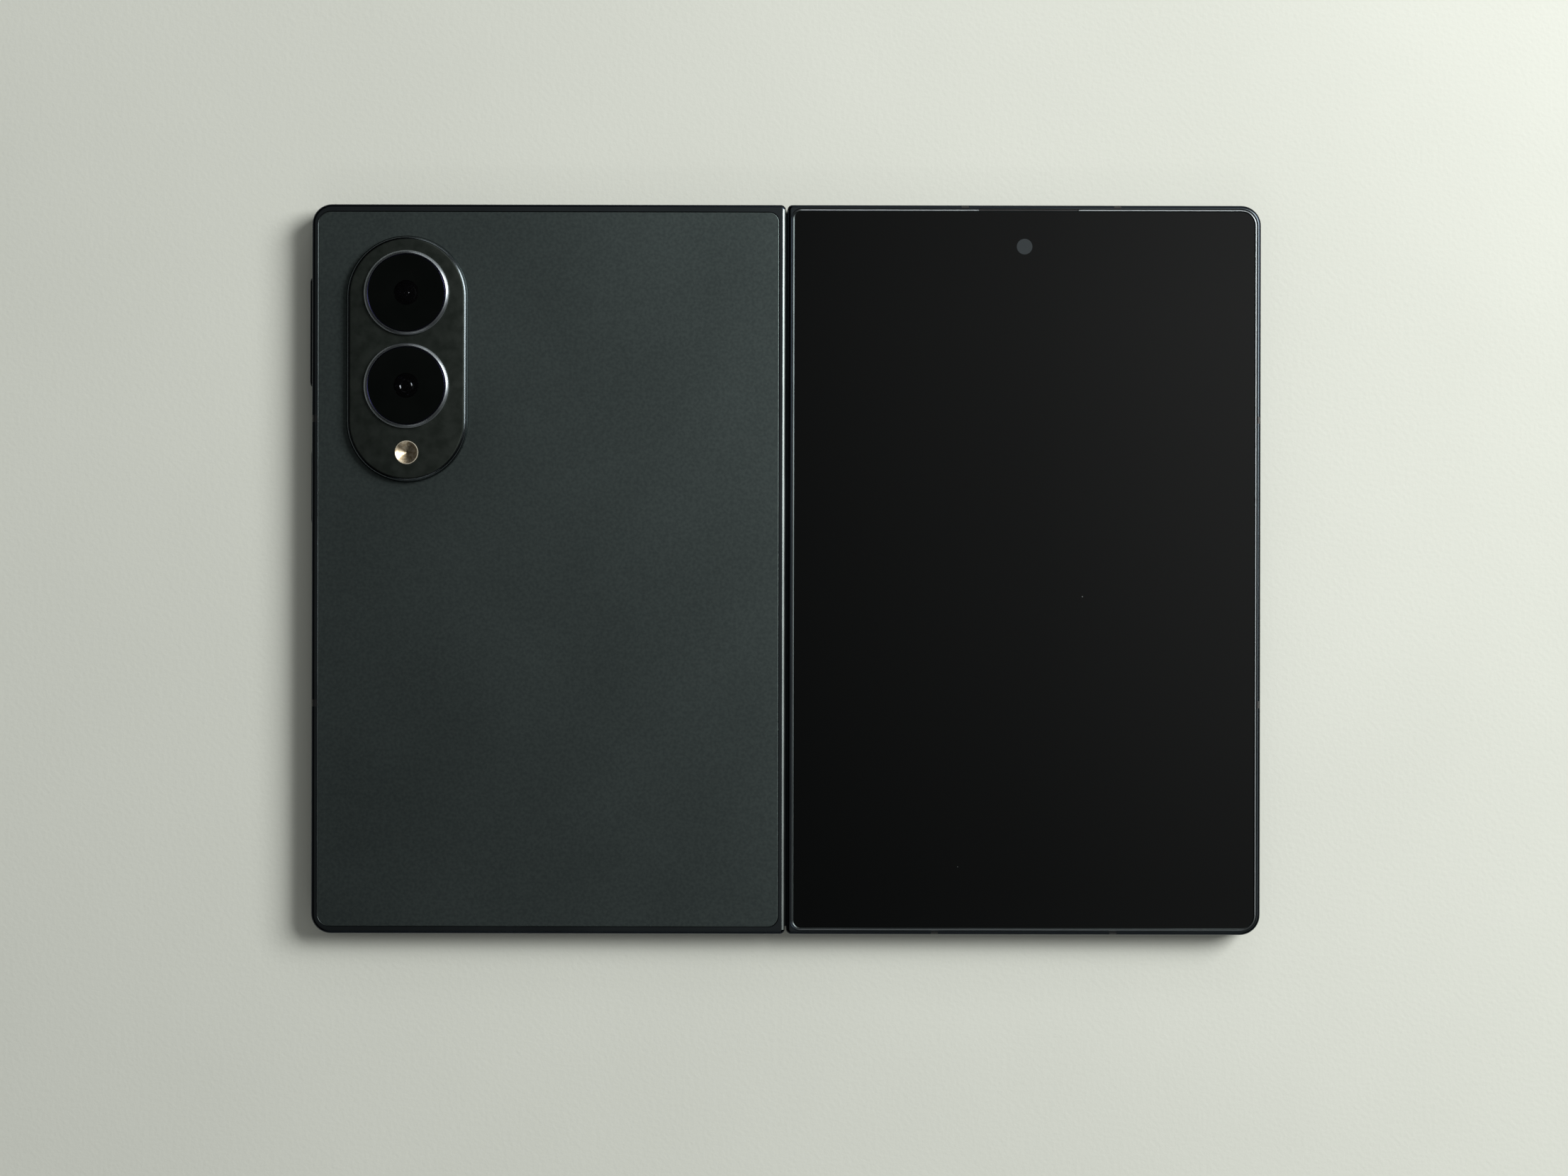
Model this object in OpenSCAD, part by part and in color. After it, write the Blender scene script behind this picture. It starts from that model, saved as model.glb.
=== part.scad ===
// Foldable smartphone, lying open with its inner display down.
// X runs across the phone: the camera half is at -X, the half with the cover display at +X.
// Y runs along the hinge, Z points out of the back. Origin: under the middle of the hinge.

/* [Body] */
// Distance from the hinge line to the outer side of each half
half_w = 80.6; // [79.6:0.1:83]
// Height of the phone, measured along the hinge
body_h = 123.9; // [122:0.1:128]
// Thickness of each half, from the bezel's foot to the back of the frame
body_t = 4.9; // [4.85:0.05:5.3]
// Height of the frame's lower edge above the bezel's foot
frame_lift = 0.25; // [0.2:0.05:0.3]
// Gap between the two halves above the hinge
seam_gap = 0.3; // [0.2:0.05:0.4]
// Radius of the outer corners
corner_r = 3.4; // [3:0.1:5]
// Radius of the corners next to the hinge
hinge_corner_r = 0.8; // [0.7:0.1:1.2]
// Rounding of the frame's back edge
edge_top_r = 0.6; // [0.4:0.05:0.65]
// Rounding of the frame's edge on the inner display's side
edge_low_r = 0.4; // [0.2:0.05:0.5]
// Thickness of the frame's outer wall
wall_t = 2.2; // [2.1:0.05:2.4]
// Thickness of the frame's floor
floor_t = 0.55; // [0.5:0.05:0.6]
// Width of an antenna break
break_w = 1.2; // [1:0.1:1.5]
// Depth of an antenna break
break_depth = 1; // [0.8:0.1:1.1]
// Distance of the upper antenna breaks on the long sides from the phone's top
side_break_top = 36.45; // [36.2:0.05:36.7]
// Distance of the lower antenna breaks on the long sides from the phone's bottom
side_break_low = 39.15; // [38:0.05:40]
// Distances of the antenna breaks in the cover half's top edge from its outer side
top_break_side = [50.3, 24.4];
// Distances of the antenna breaks in the cover half's bottom edge from its outer side
bottom_break_side = [55.3, 25];

/* [Inner display] */
// Width of the soft bezel, from the frame's recess to the visible display
bezel_w = 1.7; // [1.5:0.1:2]
// Thickness of the bezel's lip under the display's border
bezel_lip = 0.28; // [0.25:0.01:0.3]
// Width of the bezel's lip over the display's border
bezel_cover = 0.85; // [0.6:0.05:0.95]
// Thickness of the flexible display
display_t = 0.4; // [0.35:0.01:0.41]
// Thickness of the steel plate behind each rigid part of the display
plate_t = 0.15; // [0.12:0.01:0.2]
// Radius of the inner camera's hole in the display
inner_cam_r = 1.4; // [1.2:0.1:1.7]
// Distance of the inner camera from the outer side
inner_cam_side = 14.6; // [14:0.1:15]
// Distance of the inner camera from the phone's top
inner_cam_top = 10.45; // [10.2:0.05:10.6]

/* [Hinge] */
// Gap between the bezels of the two halves when the phone is shut
fold_gap = 0.1; // [0.06:0.02:0.2]
// Thickness of the frames' lips over the spine
lip_t = 0.7; // [0.65:0.05:0.75]
// Running gap between the spine and the frames
spine_gap = 0.15; // [0.1:0.01:0.18]
// Wall thickness of the spine cover
spine_wall = 0.4; // [0.35:0.05:0.42]
// Thickness of the frames' walls past the ends of the spine
spine_end_wall = 1.2; // [1:0.05:1.5]
// Distance of the two hinge modules' middles from the phone's ends
module_end = 19.95; // [16:0.05:26]
// Radius of the gear shafts
shaft_r = 0.28; // [0.25:0.01:0.3]
// Running clearance round the shafts
run_gap = 0.03; // [0.02:0.01:0.05]
// Number of teeth on each timing gear
gear_teeth = 10; // [10:1:10]
// Module of the timing gears
gear_module = 0.14; // [0.135:0.001:0.142]
// Reach of the hinge arms into the halves
arm_reach = 12; // [11:0.1:12.4]
// Thickness of the hinge arms
arm_t = 0.4; // [0.35:0.01:0.42]

/* [Rear cover and camera island] */
// Distance of the rear cover from the frame's long sides
rear_inset_side = 1.05; // [0.9:0.05:1.2]
// Distance of the rear cover from the frame's top and bottom
rear_inset_end = 1.25; // [1:0.05:1.4]
// Thickness of the rear cover and of the cover glass
cover_t = 0.45; // [0.4:0.01:0.5]
// Depth of the covers' faces below the frame's back
cover_drop = 0.03; // [0.02:0.01:0.06]
// Radius of the covers' corners next to the hinge
cover_hinge_r = 1.75; // [1.5:0.05:2]
// Distance of the camera island's foot from the frame's outer side
island_side_gap = 6; // [5.5:0.1:6.4]
// Distance of the camera island's foot from the phone's top
island_top_gap = 5.45; // [5.2:0.05:5.7]
// Width of the island at its foot
island_w = 20.6; // [20.2:0.1:21]
// Length of the island at its foot
island_l = 41.8; // [41.4:0.1:42.4]
// How the island's spare length is shared: above the upper ring, between the rings,
// from the lower ring to the flash, below the flash
island_shares = [26, 13, 21, 30];
// Height of the island above the frame's back
island_h = 1.3; // [1.2:0.05:1.5]
// Width and height of the island's bevel
island_bevel = 0.7; // [0.4:0.05:0.8]
// Thickness of the island's top
island_top_t = 0.5; // [0.45:0.05:0.55]
// Outer radius of the lens rings
ring_r = 7.2; // [7.1:0.02:7.3]
// Height of the lens rings above the island
ring_h = 0.75; // [0.6:0.05:0.9]
// Radius of the lens windows
window_r = 6.7; // [6.6:0.02:6.72]
// Thickness of the lens windows
window_t = 0.6; // [0.5:0.05:0.65]
// Travel of the focusing lens barrels
focus_travel = 0.25; // [0.1:0.01:0.26]
// Radius of the lens barrels
barrel_r = 3.8; // [3.6:0.05:4]
// Radius of the flash window
flash_r = 2; // [1.9:0.05:2.1]

/* [Cover display] */
// Distance of the cover glass from the frame's sides
glass_inset = 0.64; // [0.6:0.01:0.8]
// Width of the polished bevel round the cover glass
glass_bevel = 0.33; // [0.2:0.01:0.35]
// Thickness of the cover display's panel
panel_t = 0.35; // [0.3:0.01:0.4]
// Radius of the front camera's window
front_cam_r = 1.32; // [1.2:0.02:1.5]
// Distance of the front camera from the outer side
front_cam_side = 40.2; // [39.6:0.1:40.6]
// Distance of the front camera from the phone's top
front_cam_top = 7.05; // [6.95:0.05:7.45]
// Length of the earpiece slit
earpiece_l = 17; // [15:0.5:18]
// Width of the earpiece slit
earpiece_w = 0.55; // [0.45:0.05:0.6]
// Distance of the earpiece slit's middle from the outer side
earpiece_side = 39.5; // [38.6:0.1:40.1]

/* [Keys] */
// Height of the keys, across the thickness of the phone
key_h = 2.1; // [1.9:0.05:2.2]
// Clearance round the keys
key_gap = 0.08; // [0.05:0.01:0.1]
// Travel of the keys
key_travel = 0.25; // [0.15:0.01:0.26]
// Length of the volume key
volume_l = 18.5; // [17:0.1:19]
// Distance of the volume key's middle from the phone's top
volume_top = 21.65; // [21.35:0.05:21.95]
// Height of the volume key above the frame's side
volume_out = 0.48; // [0.3:0.02:0.55]
// Length of the power key
power_l = 12.8; // [12:0.1:13.4]
// Distance of the power key's middle from the phone's top
power_top = 48.05; // [47.75:0.05:48.35]
// Height of the power key above the frame's side
power_out = 0.26; // [0.26:0.02:0.4]

/* [Sockets] */
// Distance of the USB socket's axis from the outer side
usb_side = 40.6; // [39.6:0.1:41.6]
// Width of the socket's opening
usb_w = 8.34; // [8.34:0.01:8.34]
// Height of the socket's opening
usb_h = 2.56; // [2.56:0.01:2.56]
// Depth of the socket
usb_depth = 7; // [6.6:0.1:7.2]
// Wall thickness of the socket's shell
usb_wall = 0.3; // [0.25:0.01:0.32]
// Distance of the card tray's axis from the outer side
tray_side = 13.6; // [13.2:0.1:13.8]
// Width of the card tray
tray_w = 15; // [14.8:0.1:15.2]
// Thickness of the card tray
tray_t = 0.9; // [0.8:0.05:1]
// Length of the card tray behind its face
tray_l = 18.8; // [18:0.1:19]

/* [Hidden] */
$fn = 96;
eps = 0.01;
over = 1;  // reach of a cut past the face that it opens

// Levels, from the bezel's foot upwards
display_z = bezel_lip + 0.02;
plate_z = display_z + display_t;
floor_z = plate_z + plate_t;
cavity_z = floor_z + floor_t;
cover_top_z = body_t - cover_drop;
cover_z = cover_top_z - cover_t;
pocket_z = body_t - lip_t;
top_y = body_h / 2;

// Clearances and small edges that several pieces share
seat_gap = 0.04;
slide_gap = 0.05;
fit_gap = 0.02;
shaft_seat = 0.05;
edge_gap = 0.2;
wall_gap = 0.45;
cover_edge_r = 0.2;
bevel_drop = 0.6;

// Hinge: the main half turns about x = -hinge_x, the cover half about x = +hinge_x
hinge_z = cavity_z;
hinge_x = hinge_z + fold_gap / 2;
spine_r = pocket_z - spine_gap - hinge_z;
spine_in_r = spine_r - spine_wall;
pocket_r = spine_r + spine_gap;
pocket_x = hinge_x + pocket_r;
pocket_y = top_y - spine_end_wall;
spine_y = pocket_y - spine_gap;
hub_r = hinge_z - floor_z;
relief_gap = 0.08;
cavity_x = pocket_x + 0.95;
plate_x = pocket_x + 0.2;
pad_top_z = cavity_z + 0.5;
pad_margin = 0.6;
arm_w = 16;
arm_play = 0.1;
arm_neck = 0.3;
module_y = top_y - module_end;

// One hinge module along Y, from its middle: lugs, gears, hubs and ears
lug_y = [-8, -3, 5];
lug_t = 2;
gear_y = [-5.8, -3.2];
hub_y = [-0.9, 4.9];
ear_half = 1.5;
ear_y = [lug_y[0] - ear_half, lug_y[2] + lug_t + ear_half];
ear_w = 3.4;
ear_lift = 0.35;
ear_z = cavity_z + ear_lift;
ear_t = 0.7;
rail_x = [2.55, 3.2];
rail_lift = 0.3;
rail_top = 1;
rail_z = [cavity_z + rail_lift, cavity_z + rail_top];
boss_r = 0.95;
boss_depth = 0.95;
cap_t = 1;
cap_foot = 0.1;
cap_side = 0.5;

// Timing gears
pitch_r = gear_module * gear_teeth / 2;
root_r = 3.75 * gear_module;
idler_z = hinge_z + sqrt(pow(2 * pitch_r, 2) - pow(hinge_x - pitch_r, 2));
mesh_angle = atan2(idler_z - hinge_z, hinge_x - pitch_r);
tooth_step = 360 / gear_teeth;
axle_r = 0.2;

// Screws
screw_r = 0.5;
head_r = 0.9;
head_t = 0.4;
screw_bite = 0.5;
ear_screw_r = 0.4;
ear_head_r = 0.8;
ear_screw_reach = 0.8;
arm_screw_end = 3.4;
arm_screw_x = arm_reach - arm_screw_end;
arm_screw_y = 5;
screw_end_gap = 0.1;
pad_screw_len = pad_top_z - floor_z - screw_end_gap;
post_r = 1.3;

// Frame and covers, drawn for the camera half at -X
bezel_inset = 0.6;
bezel_fit = 0.02;
bezel_foot_r = 0.2;
cavity_r = corner_r - wall_t;
display_inset = bezel_inset + bezel_w - bezel_cover;
display_fit = 0.05;
display_corner = 0.4;
rear_x = [-half_w + rear_inset_side, -seam_gap / 2 - rear_inset_side];
rear_y = [-top_y + rear_inset_end, top_y - rear_inset_end];
rear_r = corner_r - rear_inset_end;
glass_x = [-half_w + glass_inset, -seam_gap / 2 - glass_inset];
glass_y = [-top_y + glass_inset, top_y - glass_inset];
glass_r = corner_r - glass_inset;
side_break_y = [top_y - side_break_top, side_break_low - top_y];

// Camera island and its cameras
island_x = half_w - island_side_gap - island_w / 2;
island_end_y = top_y - island_top_gap;
island_y = island_end_y - island_l / 2;
island_spare = island_l - 4 * ring_r - 2 * flash_r;
share_sum = island_shares[0] + island_shares[1] + island_shares[2] + island_shares[3];
island_gaps = [for (share = island_shares) island_spare * share / share_sum];
upper_cam_y = island_end_y - island_gaps[0] - ring_r;
lower_cam_y = upper_cam_y - island_gaps[1] - 2 * ring_r;
flash_y = lower_cam_y - ring_r - island_gaps[2] - flash_r;
camera_y = [upper_cam_y, lower_cam_y];
island_seat = 0.1;
island_z = cover_top_z - island_seat;
island_top_z = body_t + island_h;
island_roof_z = island_top_z - island_top_t;
island_hollow = 1.8;
opening_inset = 2;
sleeve_step = 0.25;
ring_sleeve_r = ring_r - sleeve_step;
ledge_w = 0.5;
ring_ledge_r = window_r - ledge_w;
ring_edge = 0.2;
window_sink = 0.1;
window_z = island_top_z - window_sink;
ring_top_z = island_top_z + ring_h;
turret_r = 6.4;
turret_drop = 0.25;
turret_z = island_roof_z - turret_drop;
module_w = 13;
module_gap = 0.15;
module_top_z = cover_z - module_gap;
barrel_z = 3.2;
barrel_stop = 0.1;
barrel_play = 0.4;
barrel_top_z = window_z - focus_travel - barrel_stop;
hood_depth = 0.8;
hood_edge = 0.4;
upper_hood_r = 2.2;
lower_hood_r = 1.6;
flash_depth = 0.4;
flash_proud = 0.12;
flash_z = island_top_z - flash_depth;
flash_top_z = island_top_z + flash_proud;
led_half = 1.2;
led_base_x = 2.5;
led_base_y = 1.5;
led_gap = 0.05;
led_base_z = cover_z - led_gap;

// Boards, cells and other inner parts of the camera half
arm_room = 1.6;
inner_x = -arm_reach - arm_room;
side_room = 4.4;
board_t = 0.7;
board_lift = 0.6;
board_z = cavity_z + board_lift;
board_l = 44.3;
island_room = 1;
board_x = [-island_x + island_w / 2 + island_room, inner_x];
board_y = [top_y - wall_t - wall_gap - board_l, top_y - wall_t - wall_gap];
board_screw_inset = 2;
can_t = 1.2;
can_side = 4.5;
can_end = 4;
can_gap = 2;
can_free = 14;
can_upper_l = 16;
cell_x = [-half_w + wall_t + side_room, inner_x];
cell_end = 25.95;
cell_board_gap = 3;
cell_y = [cell_end - top_y, board_y[0] - cell_board_gap];
cell_t = 2.5;
coil_margin = 3;
coil_band = 11;
coil_outer_r = (cell_y[1] - cell_y[0]) / 2 - coil_margin;
coil_r = [coil_outer_r - coil_band, coil_outer_r];
coil_t = 0.25;
coil_x = (cell_x[0] + cell_x[1]) / 2;
coil_y = (cell_y[0] + cell_y[1]) / 2;
usb_x = half_w - usb_side;
usb_lift = 1.2;
usb_sink = 0.95;
usb_z = cavity_z + usb_lift;
usb_y = usb_sink - top_y;
usb_back_y = usb_y + usb_depth - usb_wall;
tongue_w = 6.68;
tongue_t = 0.7;
tongue_l = 4.4;
tongue_base = 1.2;
sub_w = 20;
sub_l = 10.3;
sub_x = [-usb_x - sub_w / 2, -usb_x + sub_w / 2];
sub_y = [wall_t + wall_gap - top_y, wall_t + wall_gap + sub_l - top_y];
sub_t = 0.6;
sub_z = usb_z - sub_t / 2;
speaker_w = 12;
speaker_l = 9.6;
usb_to_speaker = 13;
speaker_gap = 0.15;
speaker_x = [usb_to_speaker - usb_x, usb_to_speaker - usb_x + speaker_w];
speaker_y = [wall_t + speaker_gap - top_y, wall_t + speaker_gap + speaker_l - top_y];
hole_count = 6;
hole_step = 1.9;
hole_r = 0.45;
hole_start = 1.3;
mic_r = 0.3;
usb_to_mic = 12.5;
top_mic_side = 50.6;
mic_x = [-usb_x - usb_to_mic, top_mic_side - half_w];
haptic_w = 10;
haptic_l = 9;
haptic_room = 4.4;
haptic_gap = 1.5;
haptic_x = [inner_x - haptic_room - haptic_w, inner_x - haptic_room];
haptic_y = [sub_y[1] + haptic_gap, sub_y[1] + haptic_gap + haptic_l];
inner_t = 2.5;

// Card tray
tray_x = half_w - tray_side;
tray_lift = 0.6;
tray_z = cavity_z + tray_lift;
tray_face_t = 1.1;
tray_lip_side = 0.7;
tray_lip_top = 0.5;
tray_face_w = tray_w + 2 * tray_lip_side;
tray_face_h = tray_t + 2 * tray_lip_top;
tray_gap = 0.1;
tray_mid_z = tray_z + tray_t / 2;
tray_well_w = 12.4;
tray_well_y = [7, 1.2];
tray_well_t = 0.25;
pin_hole_r = 0.4;
pin_hole_side = 1;
reader_wall = 0.5;
reader_gap = 0.1;
reader_end = 1.2;
reader_y = [wall_t + reader_gap - top_y, tray_face_t + tray_l + reader_end - top_y];

// Keys
key_z = (frame_lift + body_t) / 2;
volume_y = top_y - volume_top;
power_y = top_y - power_top;
flange_in = 1.4;
flange_x = half_w - flange_in;
flange_t = 0.45;
flange_more = 0.9;
flange_seat = 0.05;
sensor_inset = 0.7;
sensor_t = 0.5;
sensor_sink = 0.1;
dome_r = 1.2;
dome_spread = 5.7;
dome_y = [volume_y + dome_spread, volume_y - dome_spread, power_y];
strip_t = 0.4;
strip_h = 2.4;
strip_below = 8;
strip_above = 11;
strip_gap = 0.05;
strip_y = [power_y - strip_below, volume_y + strip_above];
strip_x = half_w - wall_t - strip_gap;
dome_x = flange_x - flange_t - key_travel - strip_gap;

// Inner parts of the cover half
front_cam_x = half_w - front_cam_side;
front_cam_y = top_y - front_cam_top;
front_cam_w = 6;
inner_cam_x = half_w - inner_cam_side;
inner_cam_y = top_y - inner_cam_top;
inner_cam_w = 6.5;
inner_cam_gap = 0.2;
earpiece_x = half_w - earpiece_side;
grille_t = 0.2;
cover_side_room = 3.4;
cover_board_end = 11.45;
cover_board_l = 16.5;
cover_board_x = [-inner_x, half_w - wall_t - cover_side_room];
cover_board_y = [top_y - cover_board_end - cover_board_l, top_y - cover_board_end];
cover_cell_x = cover_board_x;
cover_cell_end = 11.95;
cover_cell_gap = 4;
cover_cell_y = [cover_cell_end - top_y, cover_board_y[0] - cover_cell_gap];
cover_cell_t = 2.2;
receiver_w = 15.5;
receiver_l = 6.6;
receiver_side = 4.9;
receiver_wall_gap = 0.35;
receiver_x = [front_cam_x - receiver_side - receiver_w, front_cam_x - receiver_side];
receiver_top = top_y - wall_t - receiver_wall_gap;
receiver_y = [receiver_top - receiver_l, receiver_top];
receiver_gap = 0.3;
panel_room = 1.2;
panel_x = [pocket_x + panel_room, half_w - wall_t - edge_gap];
panel_z = cover_z - panel_t;
panel_y = top_y - wall_t - edge_gap;
panel_corner_gap = 0.1;
panel_r = cavity_r - panel_corner_gap;
camera_gap = 0.05;

// Flexible cable through the spine
flex_w = 10;
flex_t = 0.12;
flex_lift = 0.2;
flex_z = floor_z + flex_lift;
flex_x = 7;
flex_gap = 0.3;

// Places of the screws that hold the boards
main_posts = [
  for (px = [board_x[0] + board_screw_inset, board_x[1] - board_screw_inset],
    py = [board_y[0] + board_screw_inset, board_y[1] - board_screw_inset]) [px, py]
];
sub_posts = [
  for (px = [sub_x[0] + board_screw_inset, sub_x[1] - board_screw_inset])
    [px, sub_y[1] - board_screw_inset]
];
cover_posts = [
  for (px = [cover_board_x[0] + board_screw_inset, cover_board_x[1] - board_screw_inset])
    [-px, cover_board_y[0] + board_screw_inset]
];

// ---------- shapes used by several pieces ----------

module block(x, y, z) {
  translate([x[0], y[0], z[0]]) cube([x[1] - x[0], y[1] - y[0], z[1] - z[0]]);
}

// Upright disc or post
module post(x, y, z, r) {
  translate([x, y, z[0]]) cylinder(r = r, h = z[1] - z[0]);
}

// Round bar along Y
module bar_y(x, z, y, r) {
  translate([x, y[1], z]) rotate([90, 0, 0]) cylinder(r = r, h = y[1] - y[0]);
}

// Flat outline across the hinge (drawn in X and Z), drawn out along Y
module along_y(y) {
  translate([0, y[1], 0]) rotate([90, 0, 0]) linear_extrude(y[1] - y[0]) children();
}

module rounded_outline(x, y, r) {
  translate([x[0] + r, y[0]]) square([x[1] - x[0] - 2 * r, y[1] - y[0]]);
  translate([x[0], y[0] + r]) square([x[1] - x[0], y[1] - y[0] - 2 * r]);
  for (cx = [x[0] + r, x[1] - r], cy = [y[0] + r, y[1] - r])
    translate([cx, cy]) circle(r);
}

// Box with upright edges of radius r
module round_box(x, y, z, r) {
  translate([0, 0, z[0]]) linear_extrude(z[1] - z[0]) rounded_outline(x, y, r);
}

// Outline with two round corners at its low X end and a square high X end
module open_outline(x, half_y, r) {
  translate([x[0] + r, -half_y]) square([x[1] - x[0] - r, 2 * half_y]);
  translate([x[0], r - half_y]) square([x[1] - x[0], 2 * (half_y - r)]);
  for (cy = [r - half_y, half_y - r])
    translate([x[0] + r, cy]) circle(r);
}

module open_box(x, half_y, z, r) {
  translate([0, 0, z[0]]) linear_extrude(z[1] - z[0]) open_outline(x, half_y, r);
}

// Pill outline with its long side along X
module pill_outline(length, width) {
  square([length - width, width], center = true);
  for (s = [-1, 1])
    translate([s * (length - width) / 2, 0]) circle(width / 2);
}

// Upright pill, long along Y
module pill_y(x, y, z, length, width) {
  translate([x, y, z[0]]) rotate(90) linear_extrude(z[1] - z[0]) pill_outline(length, width);
}

// Pill through the outer side wall: drawn out along X, long along Y
module pill_side(x, y, z, length, width) {
  translate([x[0], y, z]) rotate([90, 0, 90]) linear_extrude(x[1] - x[0])
    pill_outline(length, width);
}

// Pill through the bottom wall: drawn out along Y, long along X
module pill_end(x, y, z, length, width) {
  translate([x, y[1], z]) rotate([90, 0, 0]) linear_extrude(y[1] - y[0])
    pill_outline(length, width);
}

// Edge of a slab from its corner's axis outwards, with rounded or bevelled outer edges
module edge_profile(w, z, top_r, low_r, bevel) {
  difference() {
    translate([0, z[0]]) square([w, z[1] - z[0]]);
    if (top_r > 0)
      difference() {
        translate([w - top_r, z[1] - top_r]) square(top_r + over);
        translate([w - top_r, z[1] - top_r]) circle(top_r);
      }
    if (low_r > 0)
      difference() {
        translate([w - low_r, z[0] - over]) square(low_r + over);
        translate([w - low_r, z[0] + low_r]) circle(low_r);
      }
    if (bevel > 0)
      polygon([[w - bevel, z[1] + eps], [w + eps, z[1] + eps],
        [w + eps, z[1] - bevel * bevel_drop]]);
  }
}

module edge_run(length) {
  rotate([90, 0, 0]) linear_extrude(length, center = true) children();
}

// Slab with round corners of radius r[0] at low X and r[1] at high X, and shaped edges all round
module soft_slab(x, y, z, r, top_r = 0, low_r = 0, bevel = 0) {
  corner = max(r);
  corners = [
    [x[0] + r[0], y[0] + r[0], 180, r[0]], [x[1] - r[1], y[0] + r[1], 270, r[1]],
    [x[1] - r[1], y[1] - r[1], 0, r[1]], [x[0] + r[0], y[1] - r[0], 90, r[0]]
  ];
  for (c = corners)
    translate([c[0], c[1], 0]) rotate(c[2]) rotate_extrude(angle = 90)
      edge_profile(c[3], z, top_r, low_r, bevel);
  translate([x[0] + r[0], (y[0] + y[1]) / 2, 0]) rotate(180) edge_run(y[1] - y[0] - 2 * r[0])
    edge_profile(r[0], z, top_r, low_r, bevel);
  translate([x[1] - r[1], (y[0] + y[1]) / 2, 0]) edge_run(y[1] - y[0] - 2 * r[1])
    edge_profile(r[1], z, top_r, low_r, bevel);
  for (s = [-1, 1])
    translate([(x[0] + r[0] + x[1] - r[1]) / 2, s > 0 ? y[1] - corner : y[0] + corner, 0])
      rotate(s * 90) edge_run(x[1] - x[0] - r[0] - r[1])
        edge_profile(corner, z, top_r, low_r, bevel);
  block([x[0] + r[0], x[1] - r[1]], [y[0] + corner, y[1] - corner], z);
}

// Solid of revolution about an upright axis
module turned(x, y) {
  translate([x, y, 0]) rotate_extrude() children();
}

module screw(x, y, z, length) {
  post(x, y, [z, z + head_t], head_r);
  post(x, y, [z - length, z], screw_r);
}

// ---------- the two frames, drawn for the camera half at -X ----------

// Rounds the corner under the hinge line, so that the halves clear each other half-way shut
module fold_relief() {
  difference() {
    block([-hinge_x, over], [-body_h, body_h], [-over, hinge_z]);
    bar_y(-hinge_x, hinge_z, [-body_h, body_h], hinge_x - relief_gap);
  }
}

module hinge_pocket() {
  bar_y(-hinge_x, hinge_z, [-pocket_y, pocket_y], pocket_r);
  block([-pocket_x, over], [-pocket_y, pocket_y], [-over, hinge_z]);
  block([-hinge_x, over], [-pocket_y, pocket_y], [hinge_z - over, pocket_z]);
}

module frame_shell() {
  difference() {
    soft_slab([-half_w, -seam_gap / 2], [-top_y, top_y], [frame_lift, body_t],
      [corner_r, hinge_corner_r], top_r = edge_top_r, low_r = edge_low_r);
    round_box([-half_w + wall_t, -cavity_x], [wall_t - top_y, top_y - wall_t],
      [cavity_z, body_t + over], cavity_r);
    open_box([-half_w + bezel_inset, -pocket_x], top_y - bezel_inset, [-over, floor_z],
      corner_r - bezel_inset);
    hinge_pocket();
    fold_relief();
  }
  for (my = [-module_y, module_y])
    block([-arm_reach - pad_margin, -cavity_x + eps], [my - arm_w / 2 - pad_margin,
      my + arm_w / 2 + pad_margin], [cavity_z - eps, pad_top_z]);
}

// Recesses for the hinge arms, with their screw holes
module arm_recesses() {
  for (my = [-module_y, module_y]) {
    block([-arm_reach - arm_play, -pocket_x + eps], [my - arm_w / 2 - arm_play,
      my + arm_w / 2 + arm_play], [plate_z, floor_z + arm_t]);
    for (sy = [-arm_screw_y, arm_screw_y])
      post(-arm_screw_x, my + sy, [floor_z, pad_top_z + over], screw_r + shaft_seat);
  }
}

// Slot in the frame for the flexible cable
module flex_slot() {
  half = flex_w / 2 + flex_gap;
  block([-flex_x - flex_gap, -pocket_x + eps], [-half, half], [plate_z, flex_z + flex_t + slide_gap]);
  block([-flex_x - flex_gap, -cavity_x - flex_gap], [-half, half], [plate_z, cavity_z + over]);
}

module side_breaks() {
  for (by = side_break_y)
    block([-half_w - over, -half_w + break_depth], [by - break_w / 2, by + break_w / 2],
      [-over, body_t + over]);
}

// Breaks in the top (side = 1) or the bottom (side = -1), as distances from the outer side
module end_breaks(distances, side) {
  for (d = distances)
    translate([d - half_w, side * top_y, 0])
      block([-break_w / 2, break_w / 2], side > 0 ? [-break_depth, over] : [-over, break_depth],
        [-over, body_t + over]);
}

// Posts that carry a board, as a list of places
module board_posts(places, top_z) {
  for (p = places)
    post(p[0], p[1], [cavity_z - eps, top_z], post_r);
}

module screw_holes(places, top_z) {
  for (p = places)
    post(p[0], p[1], [cavity_z, top_z + over], screw_r);
}

// Seat of the rear cover or of the cover glass: the cover's outline and a gap round it
module cover_seat(x, y, r) {
  mid = (x[0] + x[1]) / 2;
  lap = 2 * max(r, cover_hinge_r);
  seat_y = [y[0] - seat_gap, y[1] + seat_gap];
  translate([0, 0, cover_z]) linear_extrude(cover_t + over) union() {
    rounded_outline([x[0] - seat_gap, mid + lap], seat_y, r + seat_gap);
    rounded_outline([mid - lap, x[1] + seat_gap], seat_y, cover_hinge_r + seat_gap);
  }
}

// ---------- camera half ----------

module key_cut(y, length) {
  pill_side([-half_w - over, -half_w + wall_t + over], y, key_z, length + 2 * key_gap,
    key_h + 2 * key_gap);
  pill_side([-flange_x - flange_seat, -half_w + wall_t + over], y, key_z,
    length + flange_more + 3 * key_gap, key_h + flange_more + 3 * key_gap);
}

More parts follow.
